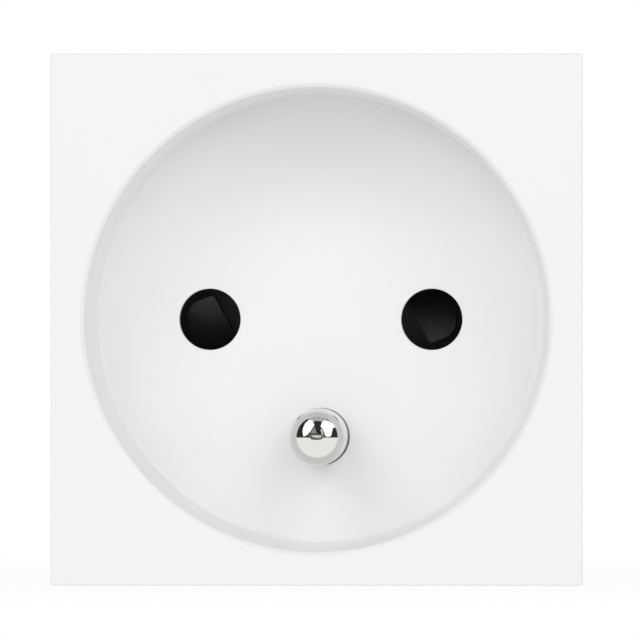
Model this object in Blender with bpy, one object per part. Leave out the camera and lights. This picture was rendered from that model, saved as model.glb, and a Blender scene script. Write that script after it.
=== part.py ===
"""Modular 45 mm socket outlet with a round well, an earth pin and a turning safety shutter.

The module stands upright as it is mounted: X is its width, +Y runs from the face into the wall and
+Z is up. Every piece hangs on one empty at the middle of the face, so that in the sizes below x is
measured from the well's axis, depth from the face and z from the well's axis.
"""

import math

import bmesh
import bpy
from mathutils import Matrix, Vector

# Room left between pieces, and how far a cutter runs past the face that it cuts
CLEARANCE = 0.0003
OVERSHOOT = 0.0005

# White cover: square flange, stepped skirt and round well
FLANGE_THICKNESS = 0.0025
FLANGE_OVERHANG = 0.0013
FLANGE_EDGE_RADIUS = 0.0003
FLANGE_CORNER_RADIUS = 0.00045
SKIRT_WALL = 0.0012
SKIRT_LAP = 0.0012
WELL_MARGIN = 0.0025
WELL_LIP_WIDTH = 0.00035
WELL_LIP_DEPTH = 0.0003
WELL_DEPTH = 0.0150
WELL_DRAFT = math.radians(1.9)
WELL_FILLET = 0.0005
WELL_WALL = 0.0012
FLOOR_THICKNESS = 0.0020

# Pin holes and earth pin
POLE_SPACING = 0.0190
POLE_HOLE_DIAMETER = 0.00525
EARTH_PIN_DROP = 0.0100
EARTH_PIN_DIAMETER = 0.0048
EARTH_PIN_HEIGHT = 0.0140
EARTH_PIN_FIT = 0.0002
EARTH_COLLAR_STEP = 0.0011
EARTH_COLLAR_THICKNESS = 0.0018
EARTH_SHANK_DIAMETER = 0.0030
EARTH_RIVET_STEP = 0.0007
EARTH_RIVET_THICKNESS = 0.0010

# Spring latches of the cover, which clip the module into its frame
LATCH_EDGE_DISTANCE = 0.0092
LATCH_WIDTH = 0.0050
LATCH_SLOT = 0.0008
LATCH_FRONT_GAP = 0.0010
LATCH_LENGTH = 0.0105
HOOK_GRIP = 0.0022
HOOK_RISE = 0.0011
HOOK_LAND = 0.0010
HOOK_RAMP = 0.0032

# Safety shutter, its chamber and its carrier
SHUTTER_FRONT_GAP = 0.0006
SHUTTER_THICKNESS = 0.0041
SHUTTER_HUB_WALL = 0.0007
SHUTTER_HUB_FLOOR = 0.0023
SHUTTER_POCKET_DIAMETER = 0.0080
SHUTTER_BLADE_THICKNESS = 0.0012
SHUTTER_BLADE_REACH = 0.0033
SHUTTER_BLADE_HALF_ANGLE = math.radians(18)
SHUTTER_RAMP_END_THICKNESS = 0.0002
PIVOT_DIAMETER = 0.0044
CARRIER_SIDE_GAP = 0.0018
CARRIER_HEIGHT = 0.0208
CARRIER_THICKNESS = 0.0012
CARRIER_CORNER_RADIUS = 0.0020
CARRIER_HOLE_EASE = 0.000275
CARRIER_POST_DIAMETER = 0.0030
CARRIER_PEG_DIAMETER = 0.0016
CARRIER_STAKE_DIAMETER = 0.0028
CARRIER_STAKE_THICKNESS = 0.0006
CARRIER_POST_INSET = 0.0018
SPRING_WIRE_DIAMETER = 0.0004
SPRING_POCKET_GAP = 0.0005
SPRING_PITCH = 0.0005
SPRING_TURNS = 2.5
SPRING_LEG_OVERHANG = 0.0009

# Right ramp of the shutter, from the middle of its pin hole: (x, z, corner radius)
RAMP_CORNERS = [
    (-0.0024, 0.0021, 0.0),
    (-0.0002, -0.0021, 0.00035),
    (0.0020, -0.0012, 0.0014),
    (0.0021, 0.0027, 0.0),
]

# Rear housing
HOUSING_STEP = 0.0001
HOUSING_WALL = 0.0019
HOUSING_REAR_WALL = 0.0016
HOUSING_CORNER_RADIUS = 0.0010
HOUSING_REAR_RADIUS = 0.0005
TONGUE_THICKNESS = 0.0010
TONGUE_ROOT = 0.0006
PARTITION_THICKNESS = 0.0012
CELL_FLOOR_DROP = 0.0060

# Contacts, bars and terminals; the strip is one width from the jaws to the terminal
STRIP_WIDTH = 0.0078
STRIP_THICKNESS = 0.0006
STRIP_BEND_RADIUS = 0.0010
STRIP_LONGEST_STEP = 0.0025
CONTACT_LENGTH = 0.0106
JAW_INSET = 0.0007
JAW_PINCH = 0.00245
JAW_MOUTH = 0.0042
JAW_BASE = 0.0034
JAW_BOW = 0.0005
JAW_THROAT = 0.0029
JAW_THROAT_RADIUS = 0.0030
JAW_BASE_RADIUS = 0.0012
JAW_MOUTH_RADIUS = 0.0008
JAW_SLOT_WIDTH = 0.0008
JAW_SLOT_LENGTH = 0.0045
JAW_START_GAP = 0.0012
JAW_END_GAP = 0.0024
CLIP_INSET = 0.0007
CLIP_THICKNESS = 0.0004
CLIP_SETBACK = 0.0025
CLIP_TIP = 0.0008
CLIP_THROAT_RADIUS = 0.0010
CLIP_BASE_RADIUS = 0.0019
BAR_END_GAP = 0.0019
TERMINAL_HEIGHT = 0.0102
EARTH_PLATE_MARGIN = 0.0036
WIRE_HOLE_INSET = 0.00005
WIRE_FUNNEL_STEP = 0.0003
WIRE_FUNNEL_DEPTH = 0.0008
WIRE_BAR_GAP = 0.0001
CLAMP_SIDE_GAP = 0.0004
CLAMP_MIDDLE_GAP = 0.0006
CLAMP_THICKNESS = 0.0004
CLAMP_FRONT_GAP = 0.0028
CLAMP_LOOP_HEIGHT = 0.0027
CLAMP_LOOP_RADIUS = 0.0013
CLAMP_REAR_GAP = 0.0021
LEVER_SIDE_GAP = 0.0007
LEVER_HEIGHT = 0.0022
LEVER_WEB = 0.0010
LEVER_SHOULDER_STEP = 0.0005
LEVER_SHOULDER_HEIGHT = 0.0014
LEVER_SHOULDER_THICKNESS = 0.0009
LEVER_GROOVE_WIDTH = 0.0010
LEVER_GROOVE_DEPTH = 0.0005

# Screws
COVER_SCREW_DIAMETER = 0.0022
COVER_SCREW_HEAD_DIAMETER = 0.0042
COVER_SCREW_HEAD_HEIGHT = 0.0016
COVER_SCREW_BITE = 0.0085
COVER_BORE_SPARE = 0.0020
COVER_BOSS_WALL = 0.0012
COLUMN_WALL = 0.0009
COLUMN_SINK = 0.0007
COLUMN_INSET = 0.0020
PIVOT_SCREW_DIAMETER = 0.0016
PIVOT_SCREW_HEAD_DIAMETER = 0.0036
PIVOT_SCREW_HEAD_HEIGHT = 0.0012
PIVOT_SCREW_LENGTH = 0.0050
SCREW_EDGE_SHARE = 0.3
RECESS_WIDTH_SHARE = 0.13
RECESS_LENGTH_SHARE = 0.56
RECESS_DEPTH_SHARE = 0.5

# Facets round a full turn
WELL_FACETS = 80
HOLE_FACETS = 32
PIN_FACETS = 32
WIRE_HOLE_FACETS = 24
BOSS_FACETS = 18
SPRING_STEPS = 18
SPRING_HOLE_FACETS = 12

# Across the module, from the poles outwards to the flange
POLE_X = POLE_SPACING / 2
CELL_HALF = STRIP_WIDTH / 2 + CLEARANCE
COLUMN_DIAMETER = COVER_SCREW_HEAD_DIAMETER + 2 * COLUMN_WALL
COVER_SCREW_OFFSET = POLE_X + CELL_HALF + PARTITION_THICKNESS + COLUMN_DIAMETER / 2 - COLUMN_SINK
HOUSING_INNER = COVER_SCREW_OFFSET + COLUMN_INSET
HOUSING_HALF = HOUSING_INNER + HOUSING_WALL
SKIRT_HALF = HOUSING_HALF + HOUSING_STEP
SKIRT_INNER = SKIRT_HALF - SKIRT_WALL
TONGUE_OUTER = SKIRT_INNER - CLEARANCE
TONGUE_INNER = TONGUE_OUTER - TONGUE_THICKNESS
MODULE_SIZE = 2 * (SKIRT_HALF + FLANGE_OVERHANG)
WELL_DIAMETER = MODULE_SIZE - 2 * WELL_MARGIN
LATCH_OFFSET = SKIRT_HALF - LATCH_EDGE_DISTANCE
SHUTTER_HUB_DIAMETER = SHUTTER_POCKET_DIAMETER + 2 * SHUTTER_HUB_WALL
SHUTTER_BLADE_RADIUS = POLE_X + SHUTTER_BLADE_REACH
SPRING_COIL_RADIUS = SHUTTER_POCKET_DIAMETER / 2 - SPRING_POCKET_GAP - SPRING_WIRE_DIAMETER / 2
SPRING_LEG_REACH = SHUTTER_HUB_DIAMETER / 2 + SPRING_LEG_OVERHANG
CARRIER_WIDTH = 2 * (HOUSING_INNER - CARRIER_SIDE_GAP)
CARRIER_HOLE_DIAMETER = POLE_HOLE_DIAMETER + 2 * CARRIER_HOLE_EASE
CARRIER_POST_X = CARRIER_WIDTH / 2 - CARRIER_POST_INSET
CARRIER_POST_Z = CARRIER_HEIGHT / 2 - CARRIER_POST_INSET
COVER_BORE = COVER_SCREW_DIAMETER + 2 * CLEARANCE
COVER_BOSS_DIAMETER = COVER_SCREW_DIAMETER + 2 * COVER_BOSS_WALL
EARTH_COLLAR_DIAMETER = EARTH_PIN_DIAMETER + 2 * EARTH_COLLAR_STEP
EARTH_RIVET_DIAMETER = EARTH_SHANK_DIAMETER + 2 * EARTH_RIVET_STEP
JAW_WIDTH = STRIP_WIDTH - 2 * JAW_INSET
CLIP_WIDTH = JAW_WIDTH - 2 * CLIP_INSET
CLAMP_WIDTH = CELL_HALF - CLAMP_MIDDLE_GAP / 2 - CLAMP_SIDE_GAP
WIRE_SPACING = CLAMP_WIDTH + CLAMP_MIDDLE_GAP
WIRE_HOLE_DIAMETER = CLAMP_WIDTH - 2 * WIRE_HOLE_INSET
WIRE_FUNNEL_DIAMETER = WIRE_HOLE_DIAMETER + 2 * WIRE_FUNNEL_STEP
LEVER_WIDTH = 2 * (CELL_HALF - LEVER_SIDE_GAP)
LEVER_SHOULDER_WIDTH = LEVER_WIDTH + 2 * LEVER_SHOULDER_STEP

# Through the module, from the face to the rear
FLOOR_FRONT = WELL_DEPTH
FLOOR_BACK = WELL_DEPTH + FLOOR_THICKNESS
SKIRT_DEPTH = FLOOR_BACK + SKIRT_LAP
HOUSING_FRONT = SKIRT_DEPTH + CLEARANCE
TONGUE_FRONT = FLOOR_BACK + CLEARANCE
COVER_SCREW_END = HOUSING_FRONT - COVER_SCREW_BITE
COVER_BORE_START = COVER_SCREW_END - COVER_BORE_SPARE
SHUTTER_FRONT = FLOOR_BACK + SHUTTER_FRONT_GAP
SHUTTER_BACK = SHUTTER_FRONT + SHUTTER_THICKNESS
BLADE_FRONT = SHUTTER_BACK - SHUTTER_BLADE_THICKNESS
CARRIER_FRONT = SHUTTER_BACK + CLEARANCE
CARRIER_BACK = CARRIER_FRONT + CARRIER_THICKNESS
EARTH_COLLAR_FRONT = FLOOR_BACK + CLEARANCE
EARTH_PLATE_FRONT = EARTH_COLLAR_FRONT + EARTH_COLLAR_THICKNESS + CLEARANCE
EARTH_RIVET_FRONT = EARTH_PLATE_FRONT + STRIP_THICKNESS + CLEARANCE
CONTACT_FRONT = CARRIER_BACK + JAW_START_GAP
CONTACT_BACK = CONTACT_FRONT + CONTACT_LENGTH
REAR_INNER = CONTACT_BACK + JAW_END_GAP
MODULE_DEPTH = REAR_INNER + HOUSING_REAR_WALL
BAR_BACK = REAR_INNER - BAR_END_GAP
CLAMP_FRONT = CONTACT_FRONT + CLAMP_FRONT_GAP
CLAMP_BACK = REAR_INNER - CLAMP_REAR_GAP

# Up from the axis to the bar of a terminal
BAR_Z = HOUSING_INNER - CLEARANCE - STRIP_THICKNESS / 2
BAR_INNER_Z = BAR_Z - STRIP_THICKNESS / 2
SHELF_HEIGHT = BAR_INNER_Z - TERMINAL_HEIGHT
WIRE_Z = BAR_INNER_Z - WIRE_BAR_GAP - WIRE_HOLE_DIAMETER / 2
LEVER_SLOT_HEIGHT = LEVER_HEIGHT + 2 * CLEARANCE
LEVER_Z = WIRE_Z - WIRE_HOLE_DIAMETER / 2 - LEVER_WEB - LEVER_SLOT_HEIGHT / 2

SHARP_ANGLE = math.radians(35)


def clear_scene():
    """Remove what the scene holds."""
    for item in list(bpy.data.objects):
        bpy.data.objects.remove(item, do_unlink=True)


def make_material(name, colour, roughness, metallic=0.0):
    """A Principled material of one colour."""
    material = bpy.data.materials.new(name)
    material.use_nodes = True
    shader = material.node_tree.nodes["Principled BSDF"]
    shader.inputs["Base Color"].default_value = (*colour, 1.0)
    shader.inputs["Roughness"].default_value = roughness
    shader.inputs["Metallic"].default_value = metallic
    return material


def place(name, bm, parent, material=None, location=(0, 0, 0), turn=0.0):
    """Make an object of a bmesh, hung on the parent and turned about the depth axis."""
    mesh = bpy.data.meshes.new(name)
    bm.to_mesh(mesh)
    bm.free()
    item = bpy.data.objects.new(name, mesh)
    bpy.context.scene.collection.objects.link(item)
    item.parent = parent
    item.location = location
    item.rotation_euler = (0, turn, 0)
    if material:
        mesh.materials.append(material)
    return item


def combine(target, tool, operation):
    """Join a guide shape to the target, or cut it out, and keep the guide out of sight."""
    tool.hide_render = True
    tool.display_type = "WIRE"
    modifier = target.modifiers.new(tool.name, "BOOLEAN")
    modifier.operation = operation
    modifier.solver = "EXACT"
    modifier.object = tool


def finish(item):
    """Apply the modifiers of a piece, and shade it smooth between its sharp edges."""
    view = bpy.context.evaluated_depsgraph_get()
    mesh = bpy.data.meshes.new_from_object(item.evaluated_get(view), depsgraph=view)
    mesh.name = item.name
    item.modifiers.clear()
    item.data = mesh
    mesh.shade_smooth()
    mesh.set_sharp_from_angle(angle=SHARP_ANGLE)
    modifier = item.modifiers.new("even_shading", "WEIGHTED_NORMAL")
    modifier.keep_sharp = True


def solidify(target, thickness):
    """Give a sheet its thickness, half of it to each side."""
    modifier = target.modifiers.new("thickness", "SOLIDIFY")
    modifier.thickness = thickness
    modifier.offset = 0
    modifier.use_even_offset = True


def block(bm, low, high):
    """Add a box between two corners."""
    low, high = Vector(low), Vector(high)
    size = high - low
    matrix = Matrix.Translation((low + high) / 2) @ Matrix.Diagonal((*size, 1))
    bmesh.ops.create_cube(bm, size=1, matrix=matrix)


def turned(bm, profile, facets, x=0.0, z=0.0):
    """Turn (radius, depth) points about the depth axis, front to back, and cap the open rings."""
    before = set(bm.verts)
    verts = [bm.verts.new((radius, depth, 0)) for radius, depth in profile]
    edges = [bm.edges.new(pair) for pair in zip(verts, verts[1:])]
    bmesh.ops.spin(
        bm,
        geom=verts + edges,
        cent=(0, 0, 0),
        axis=(0, 1, 0),
        angle=2 * math.pi,
        steps=facets,
        use_merge=True,
    )
    bmesh.ops.remove_doubles(bm, verts=[vert for vert in bm.verts if vert not in before], dist=1e-6)
    body = [vert for vert in bm.verts if vert not in before]
    rims = {edge for vert in body for edge in vert.link_edges if edge.is_boundary}
    bmesh.ops.holes_fill(bm, edges=list(rims), sides=0)
    faces = list({face for vert in body for face in vert.link_faces})
    bmesh.ops.recalc_face_normals(bm, faces=faces)
    bmesh.ops.translate(bm, verts=body, vec=(x, 0, z))


def room(name, half, front, back, parent):
    """Square block about the axis, with its half width and its two depths."""
    bm = bmesh.new()
    block(bm, (-half, front, -half), (half, back, half))
    return place(name, bm, parent)


def rod(bm, diameter, front, back, x=0.0, z=0.0, facets=BOSS_FACETS):
    """Add a plain cylinder along the depth."""
    radius = diameter / 2
    turned(bm, [(radius, front), (radius, back)], facets, x, z)


def prism(bm, outline, front, back):
    """Extrude an (x, z) outline from one depth to the other and return the front vertices."""
    verts = [bm.verts.new((x, back, z)) for x, z in outline]
    base = bm.faces.new(verts)
    grown = bmesh.ops.extrude_face_region(bm, geom=[base], use_keep_orig=True)
    front_verts = [item for item in grown["geom"] if isinstance(item, bmesh.types.BMVert)]
    bmesh.ops.translate(bm, verts=front_verts, vec=(0, front - back, 0))
    faces = list({face for vert in verts + front_verts for face in vert.link_faces})
    bmesh.ops.recalc_face_normals(bm, faces=faces)
    return front_verts


def rounded(corners, steps=5, closed=False):
    """Points of a path through (a, b, radius) corners, each corner turned by an arc of its radius."""
    points = []
    last = len(corners) - 1
    for index, (a, b, radius) in enumerate(corners):
        corner = Vector((a, b))
        if radius == 0 or (not closed and index in (0, last)):
            points.append(corner)
            continue
        before = (Vector(corners[index - 1][:2]) - corner).normalized()
        after = (Vector(corners[(index + 1) % len(corners)][:2]) - corner).normalized()
        half = before.angle(after) / 2
        reach = radius / math.tan(half)
        centre = corner + (before + after).normalized() * radius / math.sin(half)
        start = corner + before * reach - centre
        end = corner + after * reach - centre
        first = math.atan2(start.y, start.x)
        sweep = math.atan2(end.y, end.x) - first
        sweep = (sweep + math.pi) % (2 * math.pi) - math.pi
        for step in range(steps + 1):
            angle = first + sweep * step / steps
            points.append(centre + radius * Vector((math.cos(angle), math.sin(angle))))
    return points


def filled_in(points, longest):
    """Add points to a path so that no step is longer than the given length."""
    path = [points[0]]
    for start, end in zip(points, points[1:]):
        parts = max(1, math.ceil((end - start).length / longest))
        path += [start.lerp(end, part / parts) for part in range(1, parts + 1)]
    return path


def strip(bm, path, width_at, bow_at=None, columns=1):
    """Lay a sheet across x along a (depth, z) path, with its own width and bow at each point."""
    last = len(path) - 1
    bmesh.ops.create_grid(bm, x_segments=columns, y_segments=last, size=0.5)
    for vert in bm.verts:
        point = path[round((vert.co.y + 0.5) * last)]
        across = 2 * vert.co.x
        bow = bow_at(point) * (1 - across**2) if bow_at else 0.0
        vert.co = (
            across * width_at(point) / 2,
            point[0],
            point[1] + math.copysign(bow, point[1]),
        )
    bmesh.ops.recalc_face_normals(bm, faces=bm.faces)


def well_radius(depth):
    """Radius of the well's drafted wall at a depth behind the face."""
    return WELL_DIAMETER / 2 - WELL_LIP_WIDTH - (depth - WELL_LIP_DEPTH) * math.tan(WELL_DRAFT)


def cover_corners(offset_x, offset_z):
    """The four places at one offset from the axis."""
    return [(side * offset_x, level * offset_z) for side in (-1, 1) for level in (-1, 1)]


def cover_body(parent, material):
    """Flange and skirt in one block: the flange's back is inset and drawn out into the skirt."""
    bm = bmesh.new()
    half = MODULE_SIZE / 2
    block(bm, (-half, 0, -half), (half, FLANGE_THICKNESS, half))
    bm.faces.ensure_lookup_table()
    back = max(bm.faces, key=lambda face: face.calc_center_median().y)
    bmesh.ops.inset_region(bm, faces=[back], thickness=half - SKIRT_HALF, use_even_offset=True)
    grown = bmesh.ops.extrude_face_region(bm, geom=[back])
    verts = [item for item in grown["geom"] if isinstance(item, bmesh.types.BMVert)]
    bmesh.ops.translate(bm, verts=verts, vec=(0, SKIRT_DEPTH - FLANGE_THICKNESS, 0))
    bmesh.ops.delete(bm, geom=[back], context="FACES")
    corner = [edge for edge in bm.edges if all(abs(vert.co.x) > SKIRT_HALF + 1e-5 for vert in edge.verts)]
    upright = [edge for edge in corner if edge.verts[0].co.y != edge.verts[1].co.y]
    bmesh.ops.bevel(
        bm,
        geom=upright,
        offset=FLANGE_CORNER_RADIUS,
        segments=3,
        affect="EDGES",
        profile=0.5,
        material=-1,
    )
    rim = [edge for edge in bm.edges if all(abs(vert.co.y) < 1e-7 for vert in edge.verts)]
    bmesh.ops.bevel(
        bm,
        geom=rim,
        offset=FLANGE_EDGE_RADIUS,
        segments=3,
        affect="EDGES",
        profile=0.5,
        material=-1,
    )
    bmesh.ops.recalc_face_normals(bm, faces=bm.faces)
    return place("front_cover", bm, parent, material)


def well_cup(parent):
    """Outside of the well: a drafted cup that joins the skirt at its four sides."""
    bm = bmesh.new()
    front = FLANGE_THICKNESS / 2
    turned(
        bm,
        [
            (well_radius(front) + WELL_WALL, front),
            (well_radius(FLOOR_BACK) + WELL_WALL, FLOOR_BACK),
        ],
        WELL_FACETS,
    )
    return place("well_cup_guide", bm, parent)


def well_cavity(parent):
    """Inside of the well: lip, drafted wall, fillet and floor."""
    wall_end = FLOOR_FRONT - WELL_FILLET
    foot = well_radius(wall_end)
    lip = WELL_DIAMETER / 2
    spread = lip + OVERSHOOT * WELL_LIP_WIDTH / WELL_LIP_DEPTH
    profile = [(spread, -OVERSHOOT), (lip - WELL_LIP_WIDTH, WELL_LIP_DEPTH)]
    for step in range(5):
        angle = math.pi / 2 * step / 4
        profile.append(
            (
                foot - WELL_FILLET * (1 - math.cos(angle)),
                wall_end + WELL_FILLET * math.sin(angle),
            )
        )
    bm = bmesh.new()
    turned(bm, profile, WELL_FACETS)
    return place("well_cavity_guide", bm, parent)


def cover_bosses(parent):
    """Screw bosses, shutter pivot and the staked posts that hold the carrier."""
    bm = bmesh.new()
    for x, z in cover_corners(COVER_SCREW_OFFSET, COVER_SCREW_OFFSET):
        rod(bm, COVER_BOSS_DIAMETER, FLANGE_THICKNESS / 2, FLOOR_BACK, x, z)
    root = FLOOR_BACK - FLOOR_THICKNESS / 2
    rod(bm, PIVOT_DIAMETER, root, SHUTTER_BACK, facets=HOLE_FACETS)
    post = CARRIER_POST_DIAMETER / 2
    peg = CARRIER_PEG_DIAMETER / 2
    stake = CARRIER_STAKE_DIAMETER / 2
    post_end = CARRIER_FRONT - CLEARANCE
    stake_start = CARRIER_BACK + CLEARANCE
    stake_end = stake_start + CARRIER_STAKE_THICKNESS
    for x, z in cover_corners(CARRIER_POST_X, CARRIER_POST_Z):
        turned(
            bm,
            [
                (post, root),
                (post, post_end),
                (peg, post_end),
                (peg, stake_start),
                (stake, stake_start),
                (stake, stake_end),
            ],
            BOSS_FACETS,
            x,
            z,
        )
    return place("cover_boss_guide", bm, parent)


def cover_bores(parent):
    """Pin holes, earth pin hole, screw bores and pivot bore."""
    bm = bmesh.new()
    front = FLOOR_FRONT - OVERSHOOT
    back = FLOOR_BACK + OVERSHOOT
    for x in (-POLE_X, POLE_X):
        rod(bm, POLE_HOLE_DIAMETER, front, back, x, facets=HOLE_FACETS)
    earth_hole = EARTH_PIN_DIAMETER + 2 * EARTH_PIN_FIT
    rod(bm, earth_hole, front, back, 0, -EARTH_PIN_DROP, HOLE_FACETS)
    for x, z in cover_corners(COVER_SCREW_OFFSET, COVER_SCREW_OFFSET):
        rod(bm, COVER_BORE, COVER_BORE_START, back, x, z)
    pivot_bore = PIVOT_SCREW_DIAMETER + 2 * CLEARANCE
    rod(bm, pivot_bore, FLOOR_BACK, SHUTTER_BACK + OVERSHOOT)
    return place("cover_bore_guide", bm, parent)


def latch_slots(parent):
    """U-shaped slots through the top and bottom of the skirt, which free the four latch arms."""
    bm = bmesh.new()
    front = FLANGE_THICKNESS + LATCH_FRONT_GAP
    back = front + LATCH_SLOT + LATCH_LENGTH
    arm = LATCH_WIDTH / 2
    outer = arm + LATCH_SLOT
    for level in (-1, 1):
        for side in (-1, 1):
            middle = side * LATCH_OFFSET
            outline = [
                (middle - outer, front),
                (middle + outer, front),
                (middle + outer, back),
                (middle + arm, back),
                (middle + arm, front + LATCH_SLOT),
                (middle - arm, front + LATCH_SLOT),
                (middle - arm, back),
                (middle - outer, back),
            ]
            inner_z = level * (SKIRT_INNER - OVERSHOOT)
            outer_z = level * (SKIRT_HALF + OVERSHOOT)
            verts = [bm.verts.new((x, depth, inner_z)) for x, depth in outline]
            base = bm.faces.new(verts)
            grown = bmesh.ops.extrude_face_region(bm, geom=[base], use_keep_orig=True)
            moved = [item for item in grown["geom"] if isinstance(item, bmesh.types.BMVert)]
            bmesh.ops.translate(bm, verts=moved, vec=(0, 0, outer_z - inner_z))
    bmesh.ops.recalc_face_normals(bm, faces=bm.faces)
    return place("latch_slot_guide", bm, parent)


def latch_hooks(parent):
    """Hooks on the latch arms: a square face towards the flange and a long ramp to the rear."""
    bm = bmesh.new()
    front = FLANGE_THICKNESS + HOOK_GRIP
    root = SKIRT_HALF - SKIRT_WALL / 2
    top = SKIRT_HALF + HOOK_RISE
    profile = [
        (front, root),
        (front, top),
        (front + HOOK_LAND, top),
        (front + HOOK_LAND + HOOK_RAMP, SKIRT_HALF),
        (front + HOOK_LAND + HOOK_RAMP, root),
    ]
    for level in (-1, 1):
        for side in (-1, 1):
            start = side * LATCH_OFFSET - LATCH_WIDTH / 2
            verts = [bm.verts.new((start, depth, level * z)) for depth, z in profile]
            base = bm.faces.new(verts)
            grown = bmesh.ops.extrude_face_region(bm, geom=[base], use_keep_orig=True)
            moved = [item for item in grown["geom"] if isinstance(item, bmesh.types.BMVert)]
            bmesh.ops.translate(bm, verts=moved, vec=(LATCH_WIDTH, 0, 0))
    bmesh.ops.recalc_face_normals(bm, faces=bm.faces)
    return place("latch_hook_guide", bm, parent)


def build_front_cover(parent, material):
    """White cover: flange, skirt and well in one moulding."""
    cover = cover_body(parent, material)
    inside = room("skirt_room_guide", SKIRT_INNER, FLANGE_THICKNESS, SKIRT_DEPTH + OVERSHOOT, parent)
    combine(cover, inside, "DIFFERENCE")
    combine(cover, well_cup(parent), "UNION")
    combine(cover, cover_bosses(parent), "UNION")
    combine(cover, well_cavity(parent), "DIFFERENCE")
    combine(cover, cover_bores(parent), "DIFFERENCE")
    combine(cover, latch_slots(parent), "DIFFERENCE")
    combine(cover, latch_hooks(parent), "UNION")
    return cover


def terminal_places():
    """Where each pole's terminal stands: (name, x, turned upside down)."""
    return [("line", -POLE_X, False), ("neutral", POLE_X, False), ("earth", 0.0, True)]


def upside(flipped):
    """+1 for a terminal above the axis and -1 for one below it."""
    return -1 if flipped else 1


def housing_shell(parent, material):
    """Outside of the rear housing, with rounded corners and a softer rear rim."""
    bm = bmesh.new()
    half = HOUSING_HALF
    block(bm, (-half, HOUSING_FRONT, -half), (half, MODULE_DEPTH, half))
    upright = [edge for edge in bm.edges if edge.verts[0].co.y != edge.verts[1].co.y]
    bmesh.ops.bevel(
        bm,
        geom=upright,
        offset=HOUSING_CORNER_RADIUS,
        segments=4,
        affect="EDGES",
        profile=0.5,
        material=-1,
    )
    rim = [edge for edge in bm.edges if all(vert.co.y > MODULE_DEPTH - 1e-6 for vert in edge.verts)]
    bmesh.ops.bevel(
        bm,
        geom=rim,
        offset=HOUSING_REAR_RADIUS,
        segments=2,
        affect="EDGES",
        profile=0.5,
        material=-1,
    )
    return place("rear_housing", bm, parent, material)


def housing_partitions(parent):
    """Upright walls on both sides of each terminal and contact."""
    bm = bmesh.new()
    back = REAR_INNER + OVERSHOOT
    reach = HOUSING_INNER + OVERSHOOT
    for _, middle, flipped in terminal_places():
        level = upside(flipped)
        foot = SHELF_HEIGHT - PARTITION_THICKNESS if flipped else -CELL_FLOOR_DROP
        low, high = sorted((level * foot, level * reach))
        for side in (-1, 1):
            near, far = sorted(
                (
                    middle + side * CELL_HALF,
                    middle + side * (CELL_HALF + PARTITION_THICKNESS),
                )
            )
            block(bm, (near, CONTACT_FRONT + STRIP_THICKNESS, low), (far, back, high))
    return place("partition_guide", bm, parent)


def cross_wall(bm, middle, low, high):
    """Add a level wall across one cell, from its front to the rear wall."""
    reach = CELL_HALF + PARTITION_THICKNESS / 2
    front = CONTACT_FRONT + CLIP_SETBACK
    block(bm, (middle - reach, front, low), (middle + reach, REAR_INNER + OVERSHOOT, high))


def housing_shelves(parent):
    """Shelves that carry the clamp springs."""
    bm = bmesh.new()
    for _, middle, flipped in terminal_places():
        level = upside(flipped)
        low, high = sorted((level * (SHELF_HEIGHT - PARTITION_THICKNESS), level * SHELF_HEIGHT))
        cross_wall(bm, middle, low, high)
    return place("shelf_guide", bm, parent)


def housing_floors(parent):
    """Floors under the two live contacts."""
    bm = bmesh.new()
    for _, middle, flipped in terminal_places():
        if not flipped:
            cross_wall(bm, middle, -CELL_FLOOR_DROP, PARTITION_THICKNESS - CELL_FLOOR_DROP)
    return place("floor_guide", bm, parent)


def housing_openings(parent):
    """Wire holes with their funnels, lever slots, screw bores and counterbores."""
    bm = bmesh.new()
    front = REAR_INNER - OVERSHOOT
    back = MODULE_DEPTH + OVERSHOOT
    funnel_start = MODULE_DEPTH - WIRE_FUNNEL_DEPTH
    hole = WIRE_HOLE_DIAMETER / 2
    funnel = WIRE_FUNNEL_DIAMETER / 2
    slot_x = LEVER_WIDTH / 2 + CLEARANCE
    slot_z = LEVER_SLOT_HEIGHT / 2
    for _, middle, flipped in terminal_places():
        level = upside(flipped)
        for side in (-1, 1):
            turned(
                bm,
                [(hole, front), (hole, funnel_start), (funnel, MODULE_DEPTH), (funnel, back)],
                WIRE_HOLE_FACETS,
                middle + side * WIRE_SPACING / 2,
                level * WIRE_Z,
            )
        block(
            bm,
            (middle - slot_x, front, level * LEVER_Z - slot_z),
            (middle + slot_x, back, level * LEVER_Z + slot_z),
        )
    bore = COVER_BORE / 2
    head = COVER_SCREW_HEAD_DIAMETER / 2 + CLEARANCE
    seat = MODULE_DEPTH - COVER_SCREW_HEAD_HEIGHT - 2 * CLEARANCE
    for x, z in cover_corners(COVER_SCREW_OFFSET, COVER_SCREW_OFFSET):
        turned(
            bm,
            [
                (bore, TONGUE_FRONT - OVERSHOOT),
                (bore, seat),
                (head, seat),
                (head, back),
            ],
            BOSS_FACETS,
            x,
            z,
        )
    return place("housing_opening_guide", bm, parent)


def housing_columns(parent):
    """Screw columns from the rear wall to the cover's bosses, slimmer inside the tongue."""
    bm = bmesh.new()
    tip = COVER_BOSS_DIAMETER / 2
    foot = COLUMN_DIAMETER / 2
    for x, z in cover_corners(COVER_SCREW_OFFSET, COVER_SCREW_OFFSET):
        profile = [
            (tip, TONGUE_FRONT),
            (tip, HOUSING_FRONT + TONGUE_ROOT),
            (foot, HOUSING_FRONT + TONGUE_ROOT),
            (foot, MODULE_DEPTH - HOUSING_REAR_WALL / 2),
        ]
        turned(bm, profile, BOSS_FACETS, x, z)
    return place("column_guide", bm, parent)


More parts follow.
